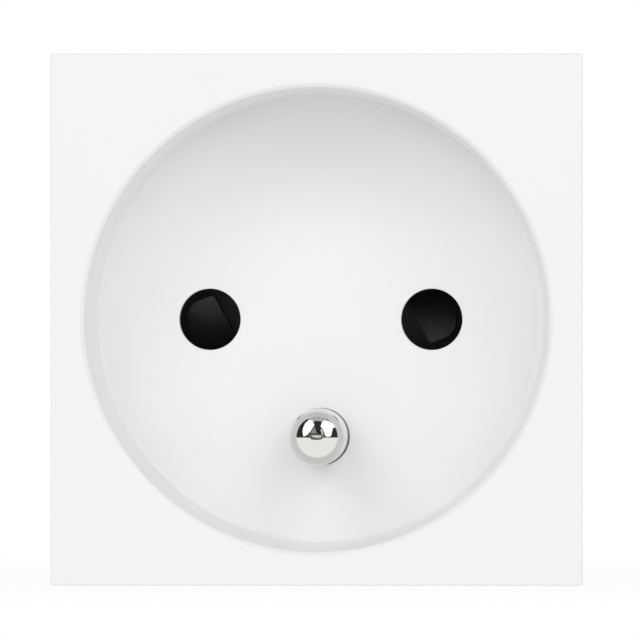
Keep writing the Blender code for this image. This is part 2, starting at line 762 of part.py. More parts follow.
def build_rear_housing(parent, material):
    """Grey housing: a box that is open to the front, with a cell for each contact and terminal."""
    housing = housing_shell(parent, material)
    shoulder = HOUSING_FRONT + TONGUE_ROOT
    tongue = room("tongue_guide", TONGUE_OUTER, TONGUE_FRONT, shoulder, parent)
    combine(housing, tongue, "UNION")
    mouth = room("mouth_guide", TONGUE_INNER, TONGUE_FRONT - OVERSHOOT, shoulder + OVERSHOOT, parent)
    combine(housing, mouth, "DIFFERENCE")
    inside = room("housing_room_guide", HOUSING_INNER, shoulder, REAR_INNER, parent)
    combine(housing, inside, "DIFFERENCE")
    combine(housing, housing_columns(parent), "UNION")
    combine(housing, housing_partitions(parent), "UNION")
    combine(housing, housing_shelves(parent), "UNION")
    combine(housing, housing_floors(parent), "UNION")
    combine(housing, housing_openings(parent), "DIFFERENCE")
    return housing


def recess(name, parent, diameter, height, top, x=0.0, z=0.0):
    """Cross-shaped recess in a screw head whose outer face lies at the given depth."""
    bm = bmesh.new()
    half = diameter * RECESS_LENGTH_SHARE / 2
    arm = diameter * RECESS_WIDTH_SHARE / 2
    outline = [
        (-half, -arm),
        (-arm, -arm),
        (-arm, -half),
        (arm, -half),
        (arm, -arm),
        (half, -arm),
        (half, arm),
        (arm, arm),
        (arm, half),
        (-arm, half),
        (-arm, arm),
        (-half, arm),
    ]
    placed = [(x + across, z + up) for across, up in outline]
    prism(bm, placed, top - height * RECESS_DEPTH_SHARE, top + OVERSHOOT)
    return place(name, bm, parent)


def build_screw(name, parent, material, shank, head, height, tip, seat, x=0.0, z=0.0):
    """Pan-head screw that points to the front, from its tip to the top of its head."""
    bm = bmesh.new()
    top = seat + height
    edge = height * SCREW_EDGE_SHARE
    turned(
        bm,
        [
            (shank / 2 - CLEARANCE, tip),
            (shank / 2, tip + CLEARANCE * 2),
            (shank / 2, seat),
            (head / 2, seat),
            (head / 2, top - edge),
            (head / 2 - edge, top),
        ],
        BOSS_FACETS,
        x,
        z,
    )
    screw = place(name, bm, parent, material)
    combine(screw, recess(name + "_recess_guide", parent, head, height, top, x, z), "DIFFERENCE")
    return screw


def build_screws(parent, material):
    """Four cover screws from the rear, and the screw that holds the carrier to the shutter's pivot."""
    seat = MODULE_DEPTH - COVER_SCREW_HEAD_HEIGHT - CLEARANCE
    names = ["lower_left", "upper_left", "lower_right", "upper_right"]
    for name, (x, z) in zip(names, cover_corners(COVER_SCREW_OFFSET, COVER_SCREW_OFFSET)):
        build_screw(
            "cover_screw_" + name,
            parent,
            material,
            COVER_SCREW_DIAMETER,
            COVER_SCREW_HEAD_DIAMETER,
            COVER_SCREW_HEAD_HEIGHT,
            COVER_SCREW_END,
            seat,
            x,
            z,
        )
    pivot_seat = CARRIER_BACK + CLEARANCE
    build_screw(
        "pivot_screw",
        parent,
        material,
        PIVOT_SCREW_DIAMETER,
        PIVOT_SCREW_HEAD_DIAMETER,
        PIVOT_SCREW_HEAD_HEIGHT,
        pivot_seat - PIVOT_SCREW_LENGTH,
        pivot_seat,
    )


def shutter_ramp_outline():
    """Outline of the right ramp behind its hole: a slanted inner edge, a nose and a rounded heel."""
    corners = [(POLE_X + x, z, radius) for x, z, radius in RAMP_CORNERS]
    return rounded(corners, steps=6, closed=True)


def build_shutter(parent, material):
    """Turning shutter: a hub with two blades, and on each blade a ramp that the plug's pin pushes."""
    bm = bmesh.new()
    bore = PIVOT_DIAMETER / 2 + CLEARANCE
    hub = SHUTTER_HUB_DIAMETER / 2
    pocket = SHUTTER_POCKET_DIAMETER / 2
    pocket_floor = SHUTTER_FRONT + SHUTTER_HUB_FLOOR
    profile = [
        (bore, SHUTTER_FRONT),
        (hub, SHUTTER_FRONT),
        (hub, SHUTTER_BACK),
        (pocket, SHUTTER_BACK),
        (pocket, pocket_floor),
        (bore, pocket_floor),
        (bore, SHUTTER_FRONT),
    ]
    turned(bm, profile, HOLE_FACETS)
    shutter = place("shutter", bm, parent, material)

    half_turn = Matrix.Rotation(math.pi, 4, "Y")
    blades = bmesh.new()
    ramps = bmesh.new()
    inner = (hub + pocket) / 2
    steps = 6
    angles = [SHUTTER_BLADE_HALF_ANGLE * (2 * step / steps - 1) for step in range(steps + 1)]
    outer_arc = [
        (SHUTTER_BLADE_RADIUS * math.cos(angle), SHUTTER_BLADE_RADIUS * math.sin(angle)) for angle in angles
    ]
    inner_arc = [(inner * math.cos(angle), inner * math.sin(angle)) for angle in reversed(angles)]
    nose_z = min(point[1] for point in shutter_ramp_outline())
    top_z = max(point[1] for point in shutter_ramp_outline())
    for turn in (Matrix.Identity(4), half_turn):
        before = set(blades.verts)
        prism(blades, outer_arc + inner_arc, BLADE_FRONT, SHUTTER_BACK)
        new = [vert for vert in blades.verts if vert not in before]
        bmesh.ops.transform(blades, matrix=turn, verts=new)
        before = set(ramps.verts)
        ramp_back = SHUTTER_BACK - SHUTTER_BLADE_THICKNESS / 2
        front = prism(ramps, shutter_ramp_outline(), SHUTTER_FRONT, ramp_back)
        rise = BLADE_FRONT - SHUTTER_RAMP_END_THICKNESS - SHUTTER_FRONT
        for vert in front:
            vert.co.y = SHUTTER_FRONT + rise * (vert.co.z - nose_z) / (top_z - nose_z)
        new = [vert for vert in ramps.verts if vert not in before]
        bmesh.ops.transform(ramps, matrix=turn, verts=new)
    combine(shutter, place("shutter_blade_guide", blades, parent), "UNION")
    combine(shutter, place("shutter_ramp_guide", ramps, parent), "UNION")
    bm = bmesh.new()
    half = SPRING_WIRE_DIAMETER / 2 + CLEARANCE
    block(bm, (-half, pocket_floor, bore), (half, SHUTTER_BACK + OVERSHOOT, hub + OVERSHOOT))
    combine(shutter, place("spring_notch_guide", bm, parent), "DIFFERENCE")
    return shutter


def build_shutter_spring(parent, material):
    """Torsion spring round the pivot: one leg lies in the hub's notch, the other in the carrier."""
    start = SHUTTER_FRONT + SHUTTER_HUB_FLOOR + CLEARANCE + SPRING_WIRE_DIAMETER / 2
    points = [(0.0, start, SPRING_LEG_REACH)]
    count = round(SPRING_TURNS * SPRING_STEPS)
    for step in range(count + 1):
        angle = math.pi / 2 + 2 * math.pi * step / SPRING_STEPS
        points.append(
            (
                SPRING_COIL_RADIUS * math.cos(angle),
                start + SPRING_PITCH * step / SPRING_STEPS,
                SPRING_COIL_RADIUS * math.sin(angle),
            )
        )
    x, _, z = points[-1]
    points.append((x, CARRIER_BACK, z))
    curve = bpy.data.curves.new("shutter_spring", "CURVE")
    curve.dimensions = "3D"
    curve.bevel_depth = SPRING_WIRE_DIAMETER / 2
    curve.bevel_resolution = 1
    curve.use_fill_caps = True
    spline = curve.splines.new("POLY")
    spline.points.add(len(points) - 1)
    for target, point in zip(spline.points, points):
        target.co = (*point, 1)
    curve.materials.append(material)
    spring = bpy.data.objects.new("shutter_spring", curve)
    bpy.context.scene.collection.objects.link(spring)
    spring.parent = parent
    return spring


def build_shutter_carrier(parent, material):
    """Black plate that closes the shutter's chamber, with a hole for each pin of the plug."""
    bm = bmesh.new()
    half_x = CARRIER_WIDTH / 2
    half_z = CARRIER_HEIGHT / 2
    radius = CARRIER_CORNER_RADIUS
    corners = [
        (-half_x, -half_z, radius),
        (half_x, -half_z, radius),
        (half_x, half_z, radius),
        (-half_x, half_z, radius),
    ]
    prism(bm, rounded(corners, closed=True), CARRIER_FRONT, CARRIER_BACK)
    carrier = place("shutter_carrier", bm, parent, material)
    bm = bmesh.new()
    front = CARRIER_FRONT - OVERSHOOT
    back = CARRIER_BACK + OVERSHOOT
    for x in (-POLE_X, POLE_X):
        rod(bm, CARRIER_HOLE_DIAMETER, front, back, x, facets=HOLE_FACETS)
    rod(bm, PIVOT_SCREW_DIAMETER + 2 * CLEARANCE, front, back)
    for x, z in cover_corners(CARRIER_POST_X, CARRIER_POST_Z):
        rod(bm, CARRIER_PEG_DIAMETER + 2 * CLEARANCE, front, back, x, z)
    rod(bm, SPRING_WIRE_DIAMETER + 2 * CLEARANCE, front, back, 0, -SPRING_COIL_RADIUS, SPRING_HOLE_FACETS)
    combine(carrier, place("carrier_hole_guide", bm, parent), "DIFFERENCE")
    return carrier


def build_earth_pin(parent, material):
    """Round-nosed earth pin with a collar behind the floor and a riveted end."""
    bm = bmesh.new()
    radius = EARTH_PIN_DIAMETER / 2
    tip = FLOOR_FRONT - EARTH_PIN_HEIGHT
    profile = []
    steps = 8
    for step in range(steps + 1):
        angle = math.pi / 2 * step / steps
        profile.append((radius * math.sin(angle), tip + radius * (1 - math.cos(angle))))
    collar = EARTH_COLLAR_DIAMETER / 2
    shank = EARTH_SHANK_DIAMETER / 2
    rivet = EARTH_RIVET_DIAMETER / 2
    collar_back = EARTH_COLLAR_FRONT + EARTH_COLLAR_THICKNESS
    rivet_back = EARTH_RIVET_FRONT + EARTH_RIVET_THICKNESS
    profile += [
        (radius, EARTH_COLLAR_FRONT),
        (collar, EARTH_COLLAR_FRONT),
        (collar, collar_back),
        (shank, collar_back),
        (shank, EARTH_RIVET_FRONT),
        (rivet, EARTH_RIVET_FRONT),
        (rivet - CLEARANCE, rivet_back),
    ]
    turned(bm, profile, PIN_FACETS, 0, -EARTH_PIN_DROP)
    return place("earth_pin", bm, parent, material)


def jaw_share(point):
    """1 in the jaws, where the strip is narrow and cupped, falling to 0 at their base and mouth."""
    depth, z = point
    near_mouth = (depth - CONTACT_FRONT) / JAW_THROAT
    near_base = (CONTACT_BACK - depth) / JAW_THROAT
    if abs(z) > JAW_MOUTH:
        return 0.0
    return max(0.0, min(1.0, near_mouth, near_base))


def build_contact(name, x, parent, material):
    """Pole contact: one brass strip bent into two cupped jaws, a riser and the terminal's bar."""
    throat = CONTACT_FRONT + JAW_THROAT
    corners = [
        (CONTACT_FRONT, -JAW_MOUTH, 0),
        (throat, -JAW_PINCH, JAW_THROAT_RADIUS),
        (CONTACT_BACK, -JAW_BASE, JAW_BASE_RADIUS),
        (CONTACT_BACK, JAW_BASE, JAW_BASE_RADIUS),
        (throat, JAW_PINCH, JAW_THROAT_RADIUS),
        (CONTACT_FRONT, JAW_MOUTH, JAW_MOUTH_RADIUS),
        (CONTACT_FRONT, BAR_Z, STRIP_BEND_RADIUS),
        (BAR_BACK, BAR_Z, 0),
    ]
    path = filled_in(rounded(corners, steps=4), STRIP_LONGEST_STEP)
    bm = bmesh.new()
    strip(
        bm,
        path,
        lambda point: STRIP_WIDTH - (STRIP_WIDTH - JAW_WIDTH) * jaw_share(point),
        lambda point: JAW_BOW * jaw_share(point),
        columns=4,
    )
    contact = place(name, bm, parent, material, (x, 0, 0))
    solidify(contact, STRIP_THICKNESS)
    bm = bmesh.new()
    half = JAW_SLOT_WIDTH / 2
    end = throat + JAW_SLOT_LENGTH
    block(bm, (-half, CONTACT_FRONT - STRIP_THICKNESS, -JAW_MOUTH - STRIP_THICKNESS), (half, end, 0))
    block(bm, (-half, throat - JAW_THROAT / 2, JAW_PINCH / 2), (half, end, JAW_MOUTH))
    combine(contact, place(name + "_slot_guide", bm, parent, None, (x, 0, 0)), "DIFFERENCE")
    return contact


def build_contact_clip(name, x, parent, material):
    """Steel spring clip round the jaws, which keeps them pressed on the plug's pin."""
    apart = STRIP_THICKNESS / 2 + CLEARANCE + CLIP_THICKNESS / 2
    pinch = JAW_PINCH + JAW_BOW + apart
    base = CONTACT_BACK + apart
    front = CONTACT_FRONT + JAW_THROAT
    corners = [
        (front - CLIP_TIP, -pinch - CLIP_TIP, 0),
        (front, -pinch, CLIP_THROAT_RADIUS),
        (base, -JAW_BASE - apart, CLIP_BASE_RADIUS),
        (base, JAW_BASE + apart, CLIP_BASE_RADIUS),
        (front, pinch, CLIP_THROAT_RADIUS),
        (front - CLIP_TIP, pinch + CLIP_TIP, 0),
    ]
    bm = bmesh.new()
    strip(bm, rounded(corners, steps=4), lambda point: CLIP_WIDTH)
    clip = place(name, bm, parent, material, (x, 0, 0))
    solidify(clip, CLIP_THICKNESS)
    return clip


def build_earth_bar(parent, material):
    """Earth bar: a plate riveted to the pin, bent back along the housing to the earth terminal."""
    middle = EARTH_PLATE_FRONT + STRIP_THICKNESS / 2
    corners = [
        (middle, -EARTH_PIN_DROP + EARTH_PLATE_MARGIN, 0),
        (middle, -BAR_Z, STRIP_BEND_RADIUS),
        (BAR_BACK, -BAR_Z, 0),
    ]
    bm = bmesh.new()
    strip(bm, rounded(corners, steps=4), lambda point: STRIP_WIDTH)
    bar = place("earth_bar", bm, parent, material)
    solidify(bar, STRIP_THICKNESS)
    bm = bmesh.new()
    rod(
        bm,
        EARTH_SHANK_DIAMETER + 2 * CLEARANCE,
        EARTH_PLATE_FRONT - OVERSHOOT,
        EARTH_RIVET_FRONT,
        0,
        -EARTH_PIN_DROP,
        WIRE_HOLE_FACETS,
    )
    combine(bar, place("rivet_hole_guide", bm, parent), "DIFFERENCE")
    return bar


def clamp_corners():
    """Path of a clamp spring: base leg on its shelf, loop at the rear, leg up to the bar."""
    base_z = SHELF_HEIGHT + CLEARANCE + CLAMP_THICKNESS / 2
    loop_z = base_z + CLAMP_LOOP_HEIGHT
    tip_z = BAR_INNER_Z - CLEARANCE - CLAMP_THICKNESS
    return [
        (CLAMP_FRONT, base_z, 0),
        (CLAMP_BACK, base_z, CLAMP_LOOP_RADIUS),
        (CLAMP_BACK, loop_z, CLAMP_LOOP_RADIUS),
        (CLAMP_FRONT, tip_z, 0),
    ]


def build_clamp(name, x, flipped, parent, material):
    """Clamp spring of one wire."""
    bm = bmesh.new()
    strip(bm, rounded(clamp_corners(), steps=5), lambda point: CLAMP_WIDTH)
    clamp = place(name, bm, parent, material, (x, 0, 0), math.pi if flipped else 0.0)
    solidify(clamp, CLAMP_THICKNESS)
    return clamp


def lever_nose(z):
    """Depth of the lever's nose at a height: a slope that lies along the clamp spring's leg."""
    _, _, loop, tip = [Vector(corner[:2]) for corner in clamp_corners()]
    along = (tip - loop).normalized()
    away = Vector((along.y, -along.x))
    start = loop + away * (CLAMP_THICKNESS / 2 + CLEARANCE)
    return start.x + along.x * (z - start.y) / along.y


def build_lever(name, x, flipped, parent, material):
    """Release lever: a push button in the rear wall whose nose bends both clamp springs aside."""
    bm = bmesh.new()
    bottom = LEVER_Z - LEVER_HEIGHT / 2
    top = LEVER_Z + LEVER_HEIGHT / 2
    back = MODULE_DEPTH - CLEARANCE
    half = LEVER_WIDTH / 2
    outline = [(lever_nose(bottom), bottom), (back, bottom), (back, top), (lever_nose(top), top)]
    verts = [bm.verts.new((-half, depth, z)) for depth, z in outline]
    base = bm.faces.new(verts)
    grown = bmesh.ops.extrude_face_region(bm, geom=[base], use_keep_orig=True)
    moved = [item for item in grown["geom"] if isinstance(item, bmesh.types.BMVert)]
    bmesh.ops.translate(bm, verts=moved, vec=(LEVER_WIDTH, 0, 0))
    bmesh.ops.recalc_face_normals(bm, faces=bm.faces)
    turn = math.pi if flipped else 0.0
    lever = place(name, bm, parent, material, (x, 0, 0), turn)
    bm = bmesh.new()
    shoulder_back = REAR_INNER - CLEARANCE
    half = LEVER_SHOULDER_WIDTH / 2
    half_z = LEVER_SHOULDER_HEIGHT / 2
    block(
        bm,
        (-half, shoulder_back - LEVER_SHOULDER_THICKNESS, LEVER_Z - half_z),
        (half, shoulder_back, LEVER_Z + half_z),
    )
    combine(lever, place(name + "_shoulder_guide", bm, parent, None, (x, 0, 0), turn), "UNION")
    bm = bmesh.new()
    groove = LEVER_GROOVE_WIDTH / 2
    block(
        bm,
        (-half, back - LEVER_GROOVE_DEPTH, LEVER_Z - groove),
        (half, back + OVERSHOOT, LEVER_Z + groove),
    )
    combine(lever, place(name + "_groove_guide", bm, parent, None, (x, 0, 0), turn), "DIFFERENCE")
    return lever


def main():
    """Build the module."""
    clear_scene()
    white = make_material("white_plastic", (0.90, 0.90, 0.90), 0.28)
    grey = make_material("grey_plastic", (0.62, 0.63, 0.64), 0.5)
    black = make_material("black_plastic", (0.012, 0.012, 0.013), 0.42)
    orange = make_material("orange_plastic", (0.80, 0.22, 0.03), 0.4)
    nickel = make_material("nickel_plate", (0.66, 0.65, 0.63), 0.12, 1.0)
    brass = make_material("contact_brass", (0.76, 0.57, 0.25), 0.3, 1.0)
    spring_steel = make_material("spring_steel", (0.50, 0.50, 0.52), 0.3, 1.0)
    zinc = make_material("zinc_steel", (0.58, 0.59, 0.61), 0.35, 1.0)

    module = bpy.data.objects.new("module_axis", None)
    module.location = (0, -MODULE_DEPTH / 2, MODULE_SIZE / 2)
    bpy.context.scene.collection.objects.link(module)

    build_front_cover(module, white)
    build_rear_housing(module, grey)
    build_screws(module, zinc)
    build_shutter(module, black)
    build_shutter_spring(module, spring_steel)
    build_shutter_carrier(module, black)
    build_earth_pin(module, nickel)
    build_earth_bar(module, brass)
    for name, x, flipped in terminal_places():
        if not flipped:
            build_contact(name + "_contact", x, module, brass)
            build_contact_clip(name + "_contact_clip", x, module, spring_steel)
        for side, word in ((-1, "left"), (1, "right")):
            place_x = x + side * WIRE_SPACING / 2
            build_clamp(f"{name}_clamp_{word}", place_x, flipped, module, spring_steel)
        build_lever(name + "_lever", x, flipped, module, orange)
    bpy.context.view_layer.update()
    pieces = [item for item in bpy.data.objects if item.type == "MESH"]
    guides = [item for item in pieces if item.hide_render]
    for item in pieces:
        if not item.hide_render:
            finish(item)
    for item in guides:
        bpy.data.objects.remove(item)


main()
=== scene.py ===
"""Looks of a modular 45 mm socket outlet with a round well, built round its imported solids.

Sizes are in metres. Every piece is modelled on the axis of the well, with x across, y from the face
inwards and z up, and its mesh is then moved to its place in the frame of the solids.
"""

import sys

import logging
import math
from dataclasses import dataclass
from enum import Enum
from typing import Any, Callable, Iterable, Optional, Sequence

import bmesh
import bpy
from mathutils import Matrix, Vector


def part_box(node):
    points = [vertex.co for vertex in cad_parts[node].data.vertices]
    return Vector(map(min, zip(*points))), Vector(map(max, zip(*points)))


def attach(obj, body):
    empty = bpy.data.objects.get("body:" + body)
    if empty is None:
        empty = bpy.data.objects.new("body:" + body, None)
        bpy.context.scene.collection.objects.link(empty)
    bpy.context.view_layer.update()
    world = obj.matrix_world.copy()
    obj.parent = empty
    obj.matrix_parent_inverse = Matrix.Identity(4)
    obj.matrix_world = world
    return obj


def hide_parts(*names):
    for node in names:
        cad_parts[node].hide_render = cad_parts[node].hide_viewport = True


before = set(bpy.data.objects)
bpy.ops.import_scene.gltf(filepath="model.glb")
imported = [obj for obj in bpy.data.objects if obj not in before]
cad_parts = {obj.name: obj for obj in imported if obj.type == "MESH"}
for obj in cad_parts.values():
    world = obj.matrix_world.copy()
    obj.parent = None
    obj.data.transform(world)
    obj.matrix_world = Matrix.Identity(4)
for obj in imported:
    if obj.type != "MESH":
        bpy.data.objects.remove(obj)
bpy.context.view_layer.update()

LOG = logging.getLogger("socket")

Point = tuple[float, float]
Corner = tuple[float, float, float]
Inputs = dict[str | int, Any]
BMesh = bmesh.types.BMesh
BMVert = bmesh.types.BMVert
Object = bpy.types.Object
NodeTree = bpy.types.NodeTree
NodeSocket = bpy.types.NodeSocket

# Room left between pieces, and how far a cutter runs past the face that it cuts
CLEARANCE = 0.0003
OVERSHOOT = 0.0005

# How close two vertices, or a vertex and a plane, are when they count as one
MERGED = 1e-7

# Places that several pieces share, from the axis and from the face
MODULE_HALF = 0.0225
MODULE_DEPTH = 0.0390
POLE_X = 0.0095
EARTH_Z = -0.0100
SCREW_OFFSET = 0.0172
FLOOR_BACK = 0.0170
HOUSING_FRONT = 0.0185
REAR_INNER = 0.0374
SHUTTER_FRONT = 0.0176
SHUTTER_BACK = 0.0217
CARRIER_FRONT = 0.0220
CARRIER_BACK = 0.0232
CONTACT_FRONT = 0.0244
CONTACT_BACK = 0.0350
CELL_HALF = 0.0042
SHELF_HEIGHT = 0.0081
BAR_Z = 0.0186
BAR_INNER_Z = 0.0183
BAR_BACK = 0.0355
WIRE_Z = 0.0165
WIRE_SPACING = 0.0041
LEVER_Z = 0.0124
LEVER_WIDTH = 0.0070
STRIP_WIDTH = 0.0078
STRIP_THICKNESS = 0.0006
POST_X = 0.0156
POST_Z = 0.0086

# From a piece's own axes to the frame of the solids
TO_FRAME = Matrix.Translation((0, -MODULE_DEPTH / 2, MODULE_HALF))
HALF_TURN = Matrix.Rotation(math.pi, 4, "Y")
SHARP_ANGLE = math.radians(32)

# Smallest roughness of any finish, and where its darker and lighter shade stand on the ramp
SMOOTHEST = 0.02
SHADE_STEPS = (0.3, 0.7)

# Wave scale that sets turning rings one length apart, and how rolling lines run along a strip
RING_SCALE = 0.05
ROLLED_RUN = (1.0, 0.06, 0.06)


class Joining(Enum):
    """How a tool shape changes a piece."""

    ADD = "UNION"
    CUT = "DIFFERENCE"


class Grain(Enum):
    """How the surface of a finish was made, which sets the run of its fine marks."""

    MOULDED = "moulded"
    TURNED = "turned"
    ROLLED = "rolled"


class Body(Enum):
    """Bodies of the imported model."""

    MODULE = "module"
    ROTOR = "shutter_rotor"
    LINE = "line_release"
    NEUTRAL = "neutral_release"
    EARTH = "earth_release"


def new_material(name: str) -> tuple[bpy.types.Material, NodeTree]:
    """Make a node material and hand it back with its tree.

    Args:
        name: The material's name.

    Returns:
        The material and its node tree.
    """
    material = bpy.data.materials.new(name)
    material.use_nodes = True
    return material, material.node_tree


def fill(tree: NodeTree, node: bpy.types.Node, inputs: Inputs) -> None:
    """Give inputs of a node, by name or number, a value or the socket that feeds them.

    Args:
        tree: The tree that the node is in.
        node: The node.
        inputs: A value or a socket for each input's name or number.
    """
    for name, value in inputs.items():
        if isinstance(value, NodeSocket):
            tree.links.new(value, node.inputs[name])
        else:
            node.inputs[name].default_value = value


def add_node(tree: NodeTree, kind: str, inputs: Optional[Inputs] = None, **settings: str) -> bpy.types.Node:
    """Add a shader node.

    Args:
        tree: The tree that it is added to.
        kind: Its type, without the prefix that all of them share.
        inputs: Values or sockets for its inputs.
        settings: Its other settings.

    Returns:
        The node.
    """
    node = tree.nodes.new("ShaderNode" + kind)
    for name, value in settings.items():
        setattr(node, name, value)
    fill(tree, node, inputs or {})
    return node


@dataclass(frozen=True)
class Finish:
    """Surface of a material: its colour, gloss and the fine marks of its making."""

    slot: str
    colour: tuple[float, float, float]
    roughness: float
    metallic: float = 0.0
    grain: Grain = Grain.MOULDED
    shade: float = 0.02
    cloud_size: float = 0.012
    mark_size: float = 0.0003
    mark_depth: float = 4e-6
    gloss_spread: float = 0.06
    axis: tuple[float, float, float] = (0.0, 0.0, 0.0)

    def material(self) -> bpy.types.Material:
        """Build the node material of this finish, or hand back the one already built.

        Returns:
            The material, whose marks follow the piece's own coordinates.
        """
        known = bpy.data.materials.get(self.slot + "_look")
        if known:
            return known
        material, tree = new_material(self.slot + "_look")
        source = add_node(tree, "TexCoord").outputs["Object"]
        centre = [-part for part in self.axis]
        place = add_node(tree, "Mapping", {"Vector": source, "Location": centre}).outputs["Vector"]
        clouds = self._noise(tree, place, self.cloud_size, 3)
        low = max(SMOOTHEST, self.roughness - self.gloss_spread)
        high = self.roughness + self.gloss_spread
        gloss = add_node(tree, "MapRange", {"Value": clouds, "To Min": low, "To Max": high})
        marks = {"Strength": 1.0, "Distance": self.mark_depth, "Height": self._marks(tree, place)}
        surface = {
            "Metallic": self.metallic,
            "Base Color": self._colours(tree, clouds),
            "Roughness": gloss.outputs["Result"],
            "Normal": add_node(tree, "Bump", marks).outputs["Normal"],
        }
        fill(tree, tree.nodes["Principled BSDF"], surface)
        return material

    @staticmethod
    def _noise(tree: NodeTree, place: NodeSocket, size: float, detail: float) -> NodeSocket:
        """A noise with spots of one size, in the piece's coordinates."""
        spots = {"Vector": place, "Scale": 1 / size, "Detail": detail}
        return add_node(tree, "TexNoise", spots).outputs["Fac"]

    def _colours(self, tree: NodeTree, clouds: NodeSocket) -> NodeSocket:
        """Mix a slightly darker and a slightly lighter shade of the colour by the clouds.

        Args:
            tree: The material's tree.
            clouds: A value from 0 to 1 that varies over the piece.

        Returns:
            The socket that gives the colour.
        """
        ramp = add_node(tree, "ValToRGB", {"Fac": clouds})
        lifts = (1 - self.shade, 1 + self.shade)
        for element, step, lift in zip(ramp.color_ramp.elements, SHADE_STEPS, lifts):
            element.position = step
            element.color = (*(min(1.0, part * lift) for part in self.colour), 1.0)
        return ramp.outputs["Color"]

    def _marks(self, tree: NodeTree, place: NodeSocket) -> NodeSocket:
        """Fine marks of the making: a spark grain, turning rings or rolling lines.

        Args:
            tree: The material's tree.
            place: The place on the piece, from the finish's axis.

        Returns:
            The socket that gives the height of the marks.
        """
        if self.grain is Grain.TURNED:
            rings = {"Vector": place, "Scale": RING_SCALE / self.mark_size, "Distortion": 1.5, "Detail": 3}
            return add_node(tree, "TexWave", rings, wave_type="RINGS", rings_direction="Y").outputs["Fac"]
        if self.grain is Grain.ROLLED:
            place = add_node(tree, "Mapping", {"Vector": place, "Scale": ROLLED_RUN}).outputs["Vector"]
        return self._noise(tree, place, self.mark_size, 4)


WHITE = Finish("white_plastic", (0.95, 0.95, 0.95), 0.32, shade=0.003, mark_depth=8e-7, gloss_spread=0.03)
GREY = Finish("grey_plastic", (0.62, 0.63, 0.64), 0.5, shade=0.03, mark_size=0.00035, mark_depth=5e-5)
BLACK = Finish("black_plastic", (0.014, 0.014, 0.015), 0.34, shade=0.2, mark_size=0.0002, mark_depth=5e-5)
ORANGE = Finish("orange_plastic", (0.80, 0.22, 0.03), 0.4, shade=0.03, mark_depth=6e-6)
NICKEL = Finish(
    "nickel_plate",
    (0.80, 0.79, 0.77),
    0.07,
    1.0,
    Grain.TURNED,
    shade=0.01,
    mark_size=0.00012,
    mark_depth=4e-7,
    gloss_spread=0.02,
    axis=(0.0, 0.0, MODULE_HALF + EARTH_Z),
)
BRASS = Finish("contact_brass", (0.76, 0.57, 0.25), 0.3, 1.0, Grain.ROLLED, shade=0.06, cloud_size=0.004)
STEEL = Finish("spring_steel", (0.50, 0.50, 0.52), 0.3, 1.0, Grain.ROLLED, shade=0.05, cloud_size=0.003)
ZINC = Finish("zinc_steel", (0.58, 0.59, 0.61), 0.32, 1.0, shade=0.08, cloud_size=0.002, mark_depth=3e-6)


def placed(name: str, data: bpy.types.ID) -> Object:
    """Put an object of a mesh, curve, lamp or camera into the scene.

    Args:
        name: The object's name.
        data: What the object shows.

    Returns:
        The object.
    """
    item = bpy.data.objects.new(name, data)
    bpy.context.scene.collection.objects.link(item)
    return item


def new_piece(name: str, bm: BMesh) -> Object:
    """Put an object of a bmesh into the scene, and free the bmesh.

    Args:
        name: The object's name.
        bm: Its shape.

    Returns:
        The object.
    """
    mesh = bpy.data.meshes.new(name)
    bm.to_mesh(mesh)
    bm.free()
    return placed(name, mesh)


def finished_mesh(item: Object) -> bpy.types.Mesh:
    """Mesh of an object with its modifiers applied."""
    view = bpy.context.evaluated_depsgraph_get()
    return bpy.data.meshes.new_from_object(item.evaluated_get(view), depsgraph=view)


def combine(target: Object, joining: Joining, *tools: BMesh) -> None:
    """Add tool shapes to a piece, or cut them out, one after another.

    Args:
        target: The piece that changes.
        joining: Whether they are added or cut.
        tools: The closed shapes, which are freed.
    """
    for tool in tools:
        item = new_piece("tool", tool)
        modifier = target.modifiers.new("joining", "BOOLEAN")
        modifier.operation = joining.value
        modifier.solver = "EXACT"
        modifier.object = item
        old = target.data
        target.data = finished_mesh(target)
        target.modifiers.clear()
        bpy.data.meshes.remove(old)
        bpy.data.objects.remove(item)


def soften(item: Object, edge: float = 0.0, segments: int = 2) -> None:
    """Shade a piece smooth between its sharp edges, and round those edges if a radius is given.

    Args:
        item: The piece.
        edge: The radius of its rounded edges, or 0 for none.
        segments: The number of steps in each rounding.
    """
    item.data.shade_smooth()
    item.data.set_sharp_from_angle(angle=SHARP_ANGLE)
    if edge:
        bevel = item.modifiers.new("edge_rounding", "BEVEL")
        bevel.width = edge
        bevel.segments = segments
        bevel.limit_method = "ANGLE"
        bevel.angle_limit = SHARP_ANGLE
        bevel.use_clamp_overlap = True
    normals = item.modifiers.new("even_shading", "WEIGHTED_NORMAL")
    normals.keep_sharp = True


def install(item: Object, node: str, body: Body, finish: Finish) -> None:
    """Move a piece to its place, dress it, and let it stand for its solid.

    Args:
        item: The piece, on its own axes.
        node: The solid that it stands for.
        body: The body that it rides on.
        finish: Its surface.
    """
    item.name = node + "_piece"
    item.data.name = item.name
    item.data.transform(TO_FRAME)
    item.data.materials.clear()
    item.data.materials.append(finish.material())
    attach(item, body.value)
    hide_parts(node)
    view = bpy.context.evaluated_depsgraph_get()
    sides = list(zip(*item.evaluated_get(view).bound_box))
    low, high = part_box(node)
    gaps = [abs(min(side) - end) for side, end in zip(sides, low)]
    gaps += [abs(max(side) - end) for side, end in zip(sides, high)]
    LOG.info("%s rides on %s, %.2f mm from its solid", item.name, body.value, 1000 * max(gaps))


def fresh(bm: BMesh, known: set[BMVert]) -> list[BMVert]:
    """Vertices of a shape that aren't among the known ones."""
    return [vert for vert in bm.verts if vert not in known]


